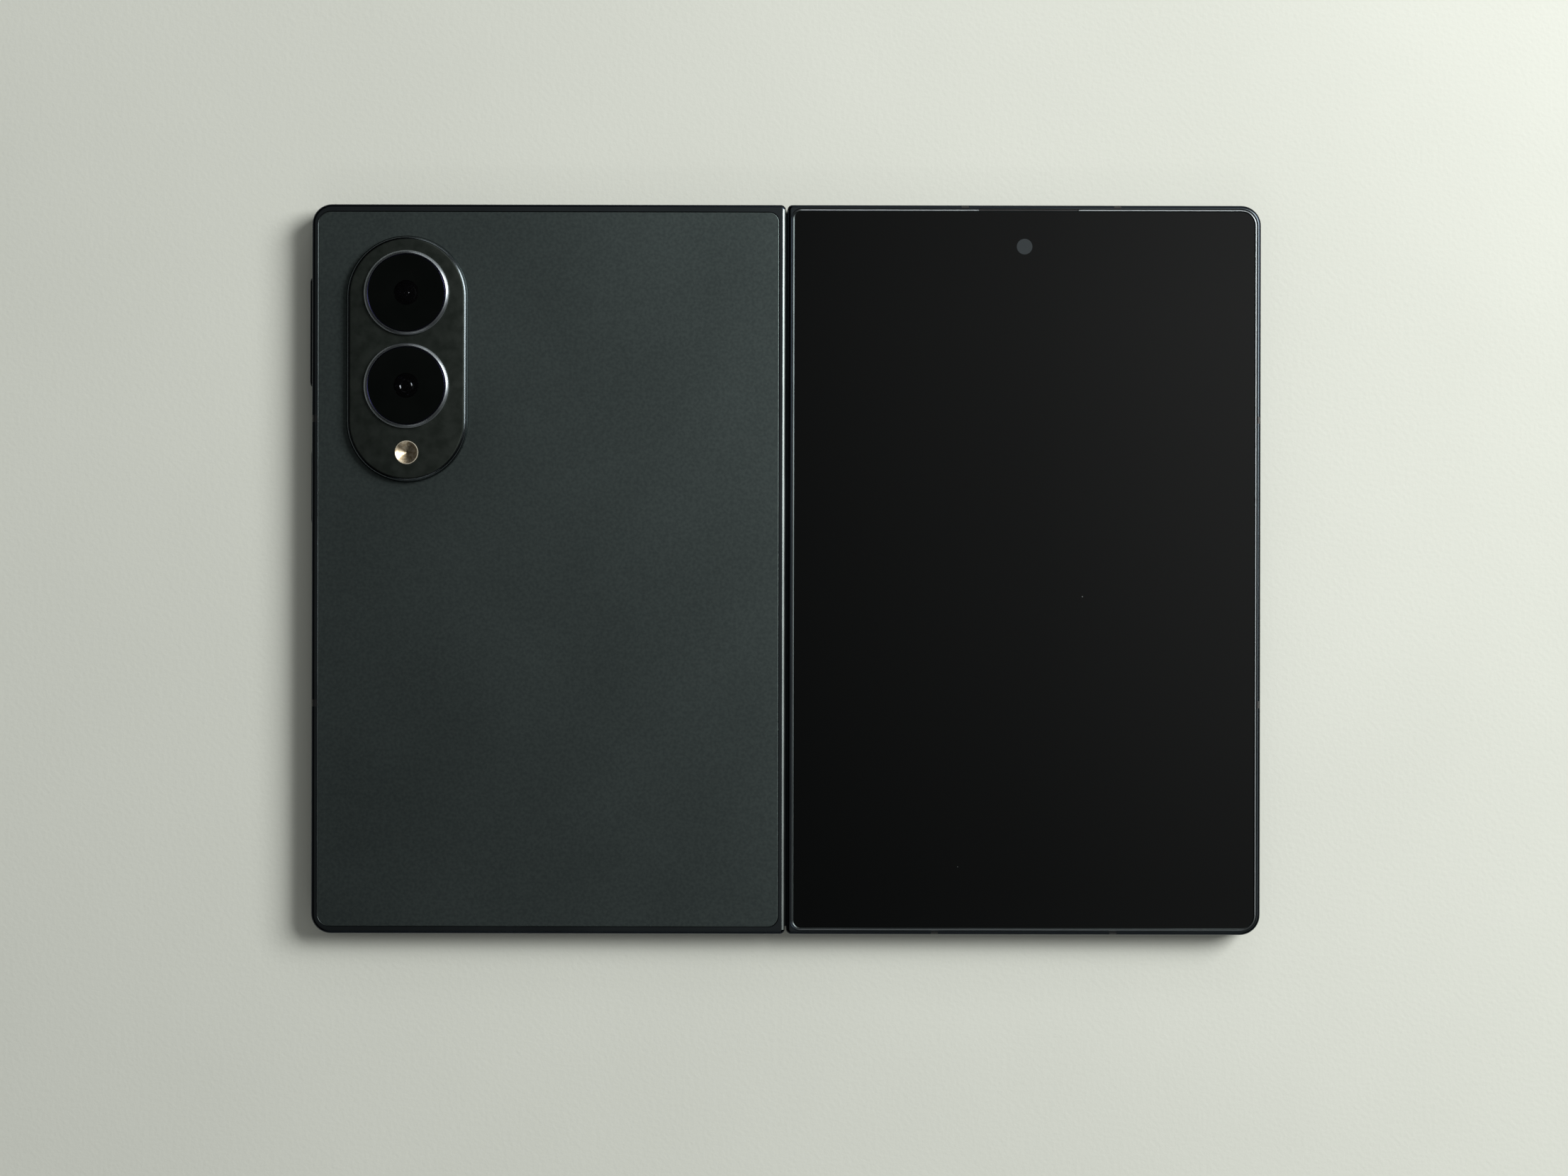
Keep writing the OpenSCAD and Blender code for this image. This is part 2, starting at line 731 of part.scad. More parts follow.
module usb_cut() {
  more = 2 * usb_wall + 2 * slide_gap;
  pill_end(-usb_x, [-top_y - over, usb_y], usb_z, usb_w + edge_gap, usb_h + edge_gap);
  pill_end(-usb_x, [usb_y, usb_y + usb_depth + edge_gap], usb_z, usb_w + more, usb_h + more);
}

module tray_cut() {
  half = tray_w / 2 + tray_gap;
  pill_end(-tray_x, [-top_y - over, tray_face_t + fit_gap - top_y], tray_mid_z,
    tray_face_w + 2 * tray_gap, tray_face_h + 2 * tray_gap);
  block([-tray_x - half, -tray_x + half], [-top_y - over, wall_t + over - top_y],
    [tray_z - tray_gap, tray_z + tray_t + tray_gap]);
}

module wall_holes() {
  for (i = [0 : hole_count - 1])
    bar_y(speaker_x[0] + hole_start + i * hole_step, usb_z, [-top_y - over, wall_t + over - top_y],
      hole_r);
  bar_y(mic_x[0], usb_z, [-top_y - over, wall_t + over - top_y], mic_r);
  bar_y(mic_x[1], usb_z, [top_y - wall_t - over, top_y + over], mic_r);
}

module main_frame() {
  color("#2c333c") difference() {
    union() {
      frame_shell();
      board_posts(main_posts, board_z);
      board_posts(sub_posts, sub_z);
    }
    cover_seat(rear_x, rear_y, rear_r);
    arm_recesses();
    flex_slot();
    side_breaks();
    screw_holes(main_posts, board_z);
    screw_holes(sub_posts, sub_z);
    key_cut(volume_y, volume_l);
    key_cut(power_y, power_l);
    usb_cut();
    tray_cut();
    wall_holes();
  }
}

module main_antenna_breaks() {
  color("#1c2025") intersection() {
    difference() {
      frame_shell();
      cover_seat(rear_x, rear_y, rear_r);
    }
    side_breaks();
  }
}

module island_pill(inset, z) {
  pill_y(-island_x, island_y, z, island_l - 2 * inset, island_w - 2 * inset);
}

module rear_cover() {
  color("#34393d") difference() {
    soft_slab(rear_x, rear_y, [cover_z, cover_top_z], [rear_r, cover_hinge_r],
      top_r = cover_edge_r);
    island_pill(opening_inset, [0, body_t + over]);
    island_pill(-seat_gap, [island_z, body_t + over]);
  }
}

module camera_island() {
  half_span = (island_l - island_w) / 2;
  foot = island_w / 2;
  shoulder_z = island_top_z - island_bevel;
  color("#272b2e") difference() {
    union() {
      for (s = [-1, 1])
        turned(-island_x, island_y + s * half_span)
          polygon([[0, island_z], [foot, island_z], [foot, shoulder_z],
            [foot - island_bevel, island_top_z], [0, island_top_z]]);
      translate([-island_x, 0, 0]) along_y([island_y - half_span, island_y + half_span])
        polygon([[-foot, island_z], [foot, island_z], [foot, shoulder_z],
          [foot - island_bevel, island_top_z], [island_bevel - foot, island_top_z],
          [-foot, shoulder_z]]);
    }
    island_pill(island_hollow, [0, island_roof_z]);
    for (cy = camera_y)
      post(-island_x, cy, [0, island_top_z + over], ring_sleeve_r + slide_gap);
    post(-island_x, flash_y, [0, island_top_z + over], flash_r + slide_gap);
  }
}

module lens_ring(y) {
  color("#5b6166") turned(-island_x, y)
    polygon([[ring_ledge_r, island_roof_z], [ring_sleeve_r, island_roof_z],
      [ring_sleeve_r, island_top_z], [ring_r, island_top_z], [ring_r, ring_top_z - ring_edge],
      [ring_r - ring_edge, ring_top_z], [window_r + eps, ring_top_z], [window_r + eps, window_z],
      [ring_ledge_r, window_z]]);
}

module upper_lens_ring() {
  lens_ring(camera_y[0]);
}

module lower_lens_ring() {
  lens_ring(camera_y[1]);
}

module lens_window(y) {
  color("#0b0c0c") post(-island_x, y, [window_z, window_z + window_t], window_r);
}

module upper_lens_window() {
  lens_window(camera_y[0]);
}

module lower_lens_window() {
  lens_window(camera_y[1]);
}

module flash_window() {
  color("#e6d9b4") post(-island_x, flash_y, [flash_z, flash_top_z], flash_r);
}

module flash_led() {
  color("#d8c26a") {
    block([-island_x - led_half, -island_x + led_half], [flash_y - led_half, flash_y + led_half],
      [led_base_z - eps, flash_z - slide_gap]);
    block([-island_x - led_base_x, -island_x + led_base_x],
      [flash_y - led_base_y, flash_y + led_base_y], [cavity_z, led_base_z]);
  }
}

module camera_module(y) {
  color("#1d1f22") difference() {
    union() {
      block([-island_x - module_w / 2, -island_x + module_w / 2],
        [y - module_w / 2, y + module_w / 2], [cavity_z, module_top_z]);
      post(-island_x, y, [cavity_z, turret_z], turret_r);
    }
    post(-island_x, y, [barrel_z - barrel_play, turret_z + over], barrel_r + slide_gap);
  }
}

module upper_camera_module() {
  camera_module(camera_y[0]);
}

module lower_camera_module() {
  camera_module(camera_y[1]);
}

// Lens barrel, with a conical hood round its front element
module lens_barrel(y, hood_r) {
  color("#16181b") difference() {
    post(-island_x, y, [barrel_z, barrel_top_z], barrel_r);
    translate([-island_x, y, barrel_top_z - hood_depth])
      cylinder(r1 = hood_r, r2 = barrel_r - hood_edge, h = hood_depth + eps);
  }
}

module upper_lens_barrel() {
  lens_barrel(camera_y[0], upper_hood_r);
}

module lower_lens_barrel() {
  lens_barrel(camera_y[1], lower_hood_r);
}

module mainboard() {
  color("#1f5b3a") difference() {
    block(board_x, board_y, [board_z, board_z + board_t]);
    for (p = main_posts)
      post(p[0], p[1], [0, body_t], screw_r + shaft_seat);
  }
}

module shield_cans() {
  z = [board_z + board_t, board_z + board_t + can_t];
  mid_x = (board_x[0] + board_x[1]) / 2;
  left_x = [board_x[0] + can_side, mid_x - can_gap / 2];
  right_x = [mid_x + can_gap / 2, board_x[1] - can_side];
  low_y = board_y[0] + can_end;
  upper_y = board_y[1] - can_end - can_upper_l;
  color("#b9bdc0") {
    block(left_x, [low_y, board_y[1] - can_free], z);
    block(right_x, [low_y, upper_y - can_gap], z);
    block(right_x, [upper_y, upper_y + can_upper_l], z);
  }
}

module main_battery() {
  color("#20242a") block(cell_x, cell_y, [cavity_z, cavity_z + cell_t]);
}

module charging_coil() {
  coil_z = cavity_z + cell_t;
  color("#b87333") difference() {
    post(coil_x, coil_y, [coil_z, coil_z + coil_t], coil_r[1]);
    post(coil_x, coil_y, [0, body_t], coil_r[0]);
  }
}

module usb_shell() {
  color("#a8acb0") difference() {
    pill_end(-usb_x, [usb_y, usb_y + usb_depth], usb_z, usb_w + 2 * usb_wall,
      usb_h + 2 * usb_wall);
    pill_end(-usb_x, [usb_y - over, usb_back_y], usb_z, usb_w, usb_h);
  }
}

module usb_tongue() {
  base_y = usb_back_y - tongue_base;
  color("#141618") {
    pill_end(-usb_x, [base_y, usb_back_y], usb_z, usb_w - 2 * fit_gap, usb_h - 2 * fit_gap);
    block([-usb_x - tongue_w / 2, -usb_x + tongue_w / 2], [base_y - tongue_l, base_y + eps],
      [usb_z - tongue_t / 2, usb_z + tongue_t / 2]);
  }
}

module sub_board() {
  notch = usb_w / 2 + usb_wall + edge_gap;
  color("#1f5b3a") difference() {
    block(sub_x, sub_y, [sub_z, sub_z + sub_t]);
    block([-usb_x - notch, -usb_x + notch], [sub_y[0] - over, usb_y + usb_depth + tray_gap],
      [0, body_t]);
    for (p = sub_posts)
      post(p[0], p[1], [0, body_t], screw_r + shaft_seat);
  }
}

module sim_reader() {
  half = tray_w / 2 + tray_gap;
  color("#9da2a6") difference() {
    block([-tray_x - half - reader_wall, -tray_x + half + reader_wall], reader_y,
      [cavity_z, tray_z + tray_t + tray_gap + reader_wall]);
    block([-tray_x - half, -tray_x + half], [reader_y[0] - over, reader_y[1] - reader_wall],
      [tray_z - tray_gap, tray_z + tray_t + tray_gap]);
  }
}

module sim_tray() {
  face_y = [-top_y, tray_face_t - top_y];
  color("#2c333c") difference() {
    union() {
      pill_end(-tray_x, face_y, tray_mid_z, tray_face_w, tray_face_h);
      block([-tray_x - tray_w / 2, -tray_x + tray_w / 2], [face_y[1] - eps, face_y[1] + tray_l],
        [tray_z, tray_z + tray_t]);
    }
    block([-tray_x - tray_well_w / 2, -tray_x + tray_well_w / 2],
      [face_y[1] + tray_well_y[0], face_y[1] + tray_l - tray_well_y[1]],
      [tray_z + tray_well_t, tray_z + tray_t + over]);
    bar_y(-tray_x + tray_w / 2 - pin_hole_side, tray_mid_z, [face_y[0] - over, face_y[1] + eps],
      pin_hole_r);
  }
}

module bottom_speaker() {
  color("#26292d") block(speaker_x, speaker_y, [cavity_z, cavity_z + inner_t]);
}

module haptic_motor() {
  color("#8f9498") block(haptic_x, haptic_y, [cavity_z, cavity_z + inner_t]);
}

module key_switch_strip() {
  color("#c07a2c") {
    block([-strip_x, -strip_x + strip_t], strip_y, [cavity_z, cavity_z + strip_h]);
    for (dy = dome_y)
      translate([-dome_x, dy, key_z]) rotate([0, 90, 0])
        cylinder(r = dome_r, h = dome_x - strip_x + eps);
  }
}

module key_body(y, length, out) {
  pill_side([-half_w - out, -flange_x + eps], y, key_z, length, key_h);
  pill_side([-flange_x, -flange_x + flange_t], y, key_z, length + flange_more,
    key_h + flange_more);
}

module volume_key() {
  color("#2c333c") key_body(volume_y, volume_l, volume_out);
}

module power_key() {
  color("#2c333c") difference() {
    key_body(power_y, power_l, power_out);
    pill_side([-half_w - power_out - over, -half_w - power_out + sensor_sink + sensor_t], power_y,
      key_z, power_l - sensor_inset, key_h - sensor_inset);
  }
}

module fingerprint_sensor() {
  x = sensor_sink - half_w - power_out;
  color("#1a1d20") pill_side([x, x + sensor_t], power_y, key_z,
    power_l - sensor_inset - 2 * fit_gap, key_h - sensor_inset - 2 * fit_gap);
}

// ---------- inner display ----------

module display_sheet(x, z, inset) {
  open_box([-half_w + inset, x], top_y - inset, z, corner_r - inset + display_corner);
}

module inner_display_main() {
  color("#0d0e10") display_sheet(-pocket_x, [display_z, plate_z], display_inset + display_fit);
}

module main_display_plate() {
  color("#7d8185") display_sheet(-plate_x, [plate_z, floor_z], display_inset + display_fit);
}

// Soft frame round the inner display; the phone lies on it
module bezel() {
  inset = bezel_inset + bezel_fit;
  r = corner_r - inset;
  difference() {
    soft_slab([-half_w + inset, over], [inset - top_y, top_y - inset], [0, floor_z], [r, r],
      low_r = bezel_foot_r);
    display_sheet(2 * over, [bezel_lip, floor_z + over], display_inset);
    display_sheet(2 * over, [-over, floor_z + over], bezel_inset + bezel_w);
    block([-plate_x, 2 * over], [-body_h, body_h], [-over, floor_z + over]);
  }
}

module inner_bezel_main() {
  color("#101214") bezel();
}

module fold_sheet() {
  half_l = top_y - display_inset - display_fit;
  block([-pocket_x, 0], [-half_l, half_l], [display_z, plate_z]);
}

module fold_display_main() {
  color("#0d0e10") fold_sheet();
}

module fold_display_cover() {
  color("#0d0e10") mirror([1, 0, 0]) fold_sheet();
}

// ---------- hinge ----------

// Cross-section of the spine with its outer radius r
module spine_section(r) {
  intersection() {
    union() {
      for (s = [-1, 1])
        translate([s * hinge_x, hinge_z]) circle(r);
      translate([-hinge_x, hinge_z]) square([2 * hinge_x, r]);
    }
    translate([-hinge_x - r, hinge_z]) square([2 * (hinge_x + r), r]);
  }
}

module spine_cover() {
  color("#2f363f") {
    difference() {
      along_y([-spine_y, spine_y]) spine_section(spine_r);
      along_y([-spine_y - over, spine_y + over]) union() {
        spine_section(spine_in_r);
        translate([-hinge_x - spine_in_r, hinge_z - over])
          square([2 * (hinge_x + spine_in_r), over + eps]);
      }
    }
    for (my = [-module_y, module_y], ey = ear_y)
      difference() {
        post(0, my + ey, [ear_z + ear_t, hinge_z + spine_in_r + shaft_seat], boss_r);
        post(0, my + ey, [0, ear_z + ear_t + boss_depth], ear_screw_r);
      }
  }
}

module spine_end_caps() {
  foot_z = floor_z + cap_foot;
  color("#2f363f") for (s = [0, 1]) mirror([0, s, 0])
    along_y([spine_y - cap_t, spine_y]) {
      spine_section(spine_in_r - eps);
      translate([-hinge_x - cap_side, foot_z])
        square([2 * (hinge_x + cap_side), hinge_z - foot_z + eps]);
    }
}

module lug_section() {
  difference() {
    union() {
      intersection() {
        spine_section(spine_in_r - fit_gap);
        translate([-rail_x[1], rail_z[0]]) square([2 * rail_x[1], spine_in_r]);
      }
      for (s = [-1, 1])
        translate([s * hinge_x, hinge_z]) circle(hub_r);
      translate([-hinge_x, hinge_z]) square([2 * hinge_x, 1]);
    }
    for (s = [-1, 1]) {
      translate([s * hinge_x, hinge_z]) circle(shaft_r + run_gap);
      translate([s * pitch_r, idler_z]) circle(axle_r + run_gap);
    }
  }
}

module hinge_brackets() {
  color("#8b9095") for (my = [-module_y, module_y])
    difference() {
      union() {
        for (ly = lug_y)
          along_y([my + ly, my + ly + lug_t]) lug_section();
        for (s = [-1, 1])
          block(s > 0 ? rail_x : [-rail_x[1], -rail_x[0]],
            [my + lug_y[0], my + lug_y[2] + lug_t], rail_z);
        for (ey = ear_y)
          block([-ear_w / 2, ear_w / 2], [my + ey - ear_half, my + ey + ear_half],
            [ear_z, ear_z + ear_t]);
      }
      for (ey = ear_y)
        post(0, my + ey, [ear_z - over, ear_z + ear_t + over], ear_screw_r + shaft_seat);
    }
}

module bracket_screws() {
  color("#b9bdc0") for (my = [-module_y, module_y], ey = ear_y) {
    post(0, my + ey, [ear_z - head_t, ear_z], ear_head_r);
    post(0, my + ey, [ear_z - eps, ear_z + ear_t + ear_screw_reach], ear_screw_r);
  }
}

// One tooth, pointing along X from the gear's axis
module tooth() {
  m = gear_module;
  polygon([[0.25, -0.86 * m], [4 * m, -0.86 * m], [5 * m, -0.62 * m], [5.7 * m, -0.34 * m],
    [5.7 * m, 0.34 * m], [5 * m, 0.62 * m], [4 * m, 0.86 * m], [0.25, 0.86 * m]]);
}

// Outline of a timing gear with teeth number first to last, counted from the angle start
module toothed_outline(start, first, last) {
  circle(root_r);
  for (k = [first : last])
    rotate(start + k * tooth_step) tooth();
}

module placed_gear(x, z, y, start, first, last) {
  translate([x, y[1], z]) rotate([90, 0, 0]) linear_extrude(y[1] - y[0])
    toothed_outline(start, first, last);
}

module main_gear_shafts() {
  color("#a7abaf") for (my = [-module_y, module_y]) {
    placed_gear(-hinge_x, hinge_z, [my + gear_y[0], my + gear_y[1]], mesh_angle, -3, 1);
    bar_y(-hinge_x, hinge_z, [my + lug_y[0], my + lug_y[2] + lug_t], shaft_r);
  }
}

module cover_gear_shafts() {
  color("#a7abaf") for (my = [-module_y, module_y]) {
    placed_gear(hinge_x, hinge_z, [my + gear_y[0], my + gear_y[1]],
      180 - mesh_angle + tooth_step / 2, -1, 2);
    bar_y(hinge_x, hinge_z, [my + lug_y[0], my + lug_y[2] + lug_t], shaft_r);
  }
}

module idlers(x, start) {
  color("#c2a35a") for (my = [-module_y, module_y]) {
    placed_gear(x, idler_z, [my + gear_y[0], my + gear_y[1]], start, 0, gear_teeth - 1);
    bar_y(x, idler_z, [my + lug_y[0], my + lug_y[1] + lug_t], axle_r);
  }
}

module main_idler_gears() {
  idlers(-pitch_r, mesh_angle + 180 + tooth_step / 2);
}

module cover_idler_gears() {
  idlers(pitch_r, -mesh_angle);
}

// Arms at -X: a plate under the frame's pad, a neck and a hub on the gear shaft
module hinge_arms() {
  for (my = [-module_y, module_y])
    difference() {
      union() {
        block([-arm_reach, -pocket_x - arm_neck], [my - arm_w / 2, my + arm_w / 2],
          [floor_z, floor_z + arm_t]);
        block([-pocket_x - arm_neck - eps, -hinge_x], [my + hub_y[0], my + hub_y[1]],
          [floor_z, floor_z + arm_t]);
        bar_y(-hinge_x, hinge_z, [my + hub_y[0], my + hub_y[1]], hub_r);
      }
      bar_y(-hinge_x, hinge_z, [my - arm_w, my + arm_w], shaft_r + eps);
      for (sy = [-arm_screw_y, arm_screw_y])
        post(-arm_screw_x, my + sy, [0, body_t], screw_r + eps);
    }
}

module main_hinge_arms() {
  color("#9a9ea2") hinge_arms();
}

module cover_hinge_arms() {
  color("#9a9ea2") mirror([1, 0, 0]) hinge_arms();
}

module arm_screws() {
  for (my = [-module_y, module_y], sy = [-arm_screw_y, arm_screw_y])
    screw(-arm_screw_x, my + sy, pad_top_z, pad_screw_len);
}

module main_screws() {
  color("#b9bdc0") {
    arm_screws();
    for (p = main_posts)
      screw(p[0], p[1], board_z + board_t, board_t + screw_bite);
    for (p = sub_posts)
      screw(p[0], p[1], sub_z + sub_t, sub_t + screw_bite);
  }
}

module hinge_flex() {
  color("#b5682a") block([-flex_x, flex_x], [-flex_w / 2, flex_w / 2], [flex_z, flex_z + flex_t]);
}

// ---------- cover half, drawn at -X and mirrored ----------

module cover_frame() {
  color("#2c333c") mirror([1, 0, 0]) difference() {
    union() {
      frame_shell();
      board_posts(cover_posts, board_z);
    }
    cover_seat(glass_x, glass_y, glass_r);
    arm_recesses();
    flex_slot();
    side_breaks();
    end_breaks(top_break_side, 1);
    end_breaks(bottom_break_side, -1);
    screw_holes(cover_posts, board_z);
    post(-inner_cam_x, inner_cam_y, [0, body_t], inner_cam_r + 3 * inner_cam_gap);
  }
}

module cover_antenna_breaks() {
  color("#1c2025") mirror([1, 0, 0]) intersection() {
    difference() {
      frame_shell();
      cover_seat(glass_x, glass_y, glass_r);
    }
    union() {
      side_breaks();
      end_breaks(top_break_side, 1);
      end_breaks(bottom_break_side, -1);
    }
  }
}

module earpiece_slit(z, gap) {
  block([-earpiece_x - earpiece_l / 2 + gap, -earpiece_x + earpiece_l / 2 - gap],
    [glass_y[1] - earpiece_w + gap, glass_y[1] + over], z);
}

module cover_glass() {
  color("#141616") mirror([1, 0, 0]) difference() {
    soft_slab(glass_x, glass_y, [cover_z, cover_top_z], [glass_r, cover_hinge_r],
      bevel = glass_bevel);
    earpiece_slit([0, body_t + over], 0);
  }
}

module earpiece_grille() {
  color("#0a0b0b") mirror([1, 0, 0]) intersection() {
    earpiece_slit([cover_z, cover_z + grille_t], fit_gap);
    block([-half_w, 0], [0, glass_y[1]], [0, body_t]);
  }
}

module cover_panel() {
  color("#050506") difference() {
    round_box(panel_x, [-panel_y, panel_y], [panel_z, cover_z], panel_r);
    post(front_cam_x, front_cam_y, [0, body_t], front_cam_r);
  }
}

module front_camera() {
  color("#1d1f22") {
    block([front_cam_x - front_cam_w / 2, front_cam_x + front_cam_w / 2],
      [front_cam_y - front_cam_w / 2, front_cam_y + front_cam_w / 2],
      [cavity_z, panel_z - camera_gap]);
    post(front_cam_x, front_cam_y, [panel_z - 2 * camera_gap, cover_z - camera_gap],
      front_cam_r - camera_gap);
  }
}

module inner_camera() {
  color("#1d1f22") {
    block([inner_cam_x - inner_cam_w / 2, inner_cam_x + inner_cam_w / 2],
      [inner_cam_y - inner_cam_w / 2, inner_cam_y + inner_cam_w / 2],
      [cavity_z, panel_z - 3 * inner_cam_gap]);
    post(inner_cam_x, inner_cam_y, [display_z + 2 * camera_gap, cavity_z + eps],
      inner_cam_r - camera_gap);
  }
}

module earpiece_receiver() {
  color("#26292d") block(receiver_x, receiver_y, [cavity_z, panel_z - receiver_gap]);
}

module cover_battery() {
  color("#20242a") block(cover_cell_x, cover_cell_y, [cavity_z, cavity_z + cover_cell_t]);
}

module cover_board() {
  camera_half = inner_cam_w / 2 + inner_cam_gap;
  color("#1f5b3a") difference() {
    block(cover_board_x, cover_board_y, [board_z, board_z + board_t]);
    block([inner_cam_x - camera_half, inner_cam_x + camera_half],
      [inner_cam_y - camera_half, cover_board_y[1] + over], [0, body_t]);
    for (p = cover_posts)
      post(-p[0], p[1], [0, body_t], screw_r + shaft_seat);
  }
}

module inner_display_cover() {
  color("#0d0e10") difference() {
    mirror([1, 0, 0]) display_sheet(-pocket_x, [display_z, plate_z], display_inset + display_fit);
    post(inner_cam_x, inner_cam_y, [0, body_t], inner_cam_r);
  }
}

module cover_display_plate() {
  color("#7d8185") difference() {
    mirror([1, 0, 0]) display_sheet(-plate_x, [plate_z, floor_z], display_inset + display_fit);
    post(inner_cam_x, inner_cam_y, [0, body_t], inner_cam_r + inner_cam_gap);
  }
}

module inner_bezel_cover() {
  color("#101214") mirror([1, 0, 0]) bezel();
}

module cover_screws() {
  color("#b9bdc0") mirror([1, 0, 0]) {
    arm_screws();
    for (p = cover_posts)
      screw(p[0], p[1], board_z + board_t, board_t + screw_bite);
  }
}

main_frame();
main_antenna_breaks();
rear_cover();
camera_island();
upper_lens_ring();
lower_lens_ring();
upper_lens_window();
lower_lens_window();
flash_window();
flash_led();
upper_camera_module();
lower_camera_module();
upper_lens_barrel();
lower_lens_barrel();
mainboard();
shield_cans();
main_battery();
charging_coil();
usb_shell();
usb_tongue();
sub_board();
sim_reader();
sim_tray();
bottom_speaker();
haptic_motor();
key_switch_strip();
volume_key();
power_key();
fingerprint_sensor();
inner_display_main();
main_display_plate();
inner_bezel_main();
main_hinge_arms();
main_gear_shafts();
main_screws();
spine_cover();
spine_end_caps();
hinge_brackets();
bracket_screws();
main_idler_gears();
cover_idler_gears();
fold_display_main();
fold_display_cover();
hinge_flex();
cover_frame();
cover_antenna_breaks();
cover_glass();
cover_panel();
front_camera();
inner_camera();
earpiece_grille();
earpiece_receiver();
cover_battery();
cover_board();
inner_display_cover();
cover_display_plate();
inner_bezel_cover();
cover_hinge_arms();
cover_gear_shafts();
cover_screws();
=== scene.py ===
import math

import bmesh
import bpy
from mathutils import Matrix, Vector


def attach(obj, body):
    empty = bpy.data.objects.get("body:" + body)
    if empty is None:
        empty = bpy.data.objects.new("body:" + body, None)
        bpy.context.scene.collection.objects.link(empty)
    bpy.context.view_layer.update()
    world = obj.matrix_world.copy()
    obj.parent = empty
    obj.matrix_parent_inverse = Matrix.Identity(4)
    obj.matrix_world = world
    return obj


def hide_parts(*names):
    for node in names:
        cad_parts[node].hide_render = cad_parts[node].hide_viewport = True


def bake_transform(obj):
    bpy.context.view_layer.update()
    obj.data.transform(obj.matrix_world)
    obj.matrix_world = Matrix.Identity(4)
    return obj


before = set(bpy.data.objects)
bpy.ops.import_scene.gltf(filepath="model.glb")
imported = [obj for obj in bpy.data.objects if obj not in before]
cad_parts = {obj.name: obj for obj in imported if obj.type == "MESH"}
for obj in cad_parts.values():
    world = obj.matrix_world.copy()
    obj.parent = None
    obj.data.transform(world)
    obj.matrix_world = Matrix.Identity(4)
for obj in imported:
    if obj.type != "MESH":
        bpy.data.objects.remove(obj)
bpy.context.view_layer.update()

mm = 0.001
fullTurn = 2 * math.pi
mixBy, mixA, mixB, mixOut = 0, 6, 7, 2      # the share and the colour sockets of a Mix node
floatA, floatB = 2, 3                       # its number sockets


# an sRGB hex colour as the linear values that Blender's sockets take
def linear(hexColour):
    parts = [int(hexColour[i:i + 2], 16) / 255 for i in (1, 3, 5)]
    return [p / 12.92 if p <= 0.04045 else ((p + 0.055) / 1.055) ** 2.4 for p in parts] + [1]


# adds one node: links holds values for its sockets or the sockets that feed them, settings its
# properties
def addNode(tree, kind, links=None, **settings):
    node = tree.nodes.new("ShaderNode" + kind)
    for name, value in settings.items():
        setattr(node, name, value)
    for name, value in (links or {}).items():
        socket = node.inputs[name]
        if isinstance(value, bpy.types.NodeSocket):
            tree.links.new(value, socket)
        else:
            socket.default_value = value
    return node


# a named material with an empty tree, and the rest position of each point in metres
def startMaterial(name):
    material = bpy.data.materials.new(name)
    material.use_nodes = True
    tree = material.node_tree
    tree.nodes.clear()
    place = addNode(tree, "TexCoord").outputs["Object"]
    return material, tree, place


# closes a material with its surface shader
def endMaterial(material, tree, shader):
    addNode(tree, "OutputMaterial", {"Surface": shader.outputs["BSDF"]})
    return material


# size of a pattern in mm as the scale of a texture that works in metres
def perSize(sizeInMm):
    return 1 / (sizeInMm * mm)


# a colour that wanders between two hex values over patches of a size in mm
def patches(tree, place, size, low, high, detail=4, spread=(0.35, 0.65)):
    noise = addNode(tree, "TexNoise", {"Vector": place, "Scale": perSize(size), "Detail": detail})
    ramp = addNode(tree, "ValToRGB", {"Fac": noise.outputs["Fac"]})
    for stop, position, colour in zip(ramp.color_ramp.elements, spread, (low, high)):
        stop.position = position
        stop.color = linear(colour)
    return ramp.outputs["Color"]


# a number that wanders between two values over patches of a size in mm
def wander(tree, place, size, low, high, detail=3, spread=(0.3, 0.7)):
    noise = addNode(tree, "TexNoise", {"Vector": place, "Scale": perSize(size), "Detail": detail})
    return addNode(tree, "MapRange", {
        "Value": noise.outputs["Fac"], "From Min": spread[0], "From Max": spread[1],
        "To Min": low, "To Max": high}).outputs["Result"]


# fine relief of a grain: its size and its height in mm
def grain(tree, place, size, height, detail=2):
    noise = addNode(tree, "TexNoise", {"Vector": place, "Scale": perSize(size), "Detail": detail})
    return addNode(tree, "Bump", {"Height": noise.outputs["Fac"], "Strength": 1.0,
                                  "Distance": height * mm}).outputs["Normal"]


# a worked metal: colours and gloss change over patches, grit and relief are its finest marks, in mm
def workedMetal(name, colours, rough, grit, relief, patchSize=14, glossShare=0.6):
    material, tree, place = startMaterial(name)
    shader = addNode(tree, "BsdfPrincipled", {
        "Base Color": patches(tree, place, patchSize, *colours),
        "Metallic": 1.0,
        "Roughness": wander(tree, place, patchSize * glossShare, *rough),
        "Normal": grain(tree, place, grit, relief)})
    return endMaterial(material, tree, shader)


# turned hinge spine, dyed as the frame is and a little smoother: dark satin slate
spineMetal = workedMetal("dyedAnodisedAluminiumSatin", colours=("#363b3e", "#3f4447"),
                         rough=(0.25, 0.33), grit=0.3, relief=0.003)
# pale grey metal on the hinge edge, a painted highlight where the round edge mirrors the key light;
# the lamps brighten it too
paleHighlightMetal = workedMetal("paleMetalPaintedHighlight", colours=("#7a8280", "#868e8c"),
                           rough=(0.34, 0.4), grit=0.3, relief=0.001)
# fine lip beside each cover: smooth dark metal that draws a thin line
lipMetal = workedMetal("burnishedAluminiumLip", colours=("#3a4040", "#444a4a"),
                       rough=(0.28, 0.34), grit=0.3, relief=0.001)
# stamped steel of shields and plates: light grey, faint rolling marks
stampedSteel = workedMetal("stampedStainlessSteel", colours=("#8d9196", "#a2a6aa"),
                           rough=(0.3, 0.42), grit=0.5, relief=0.004, patchSize=6)
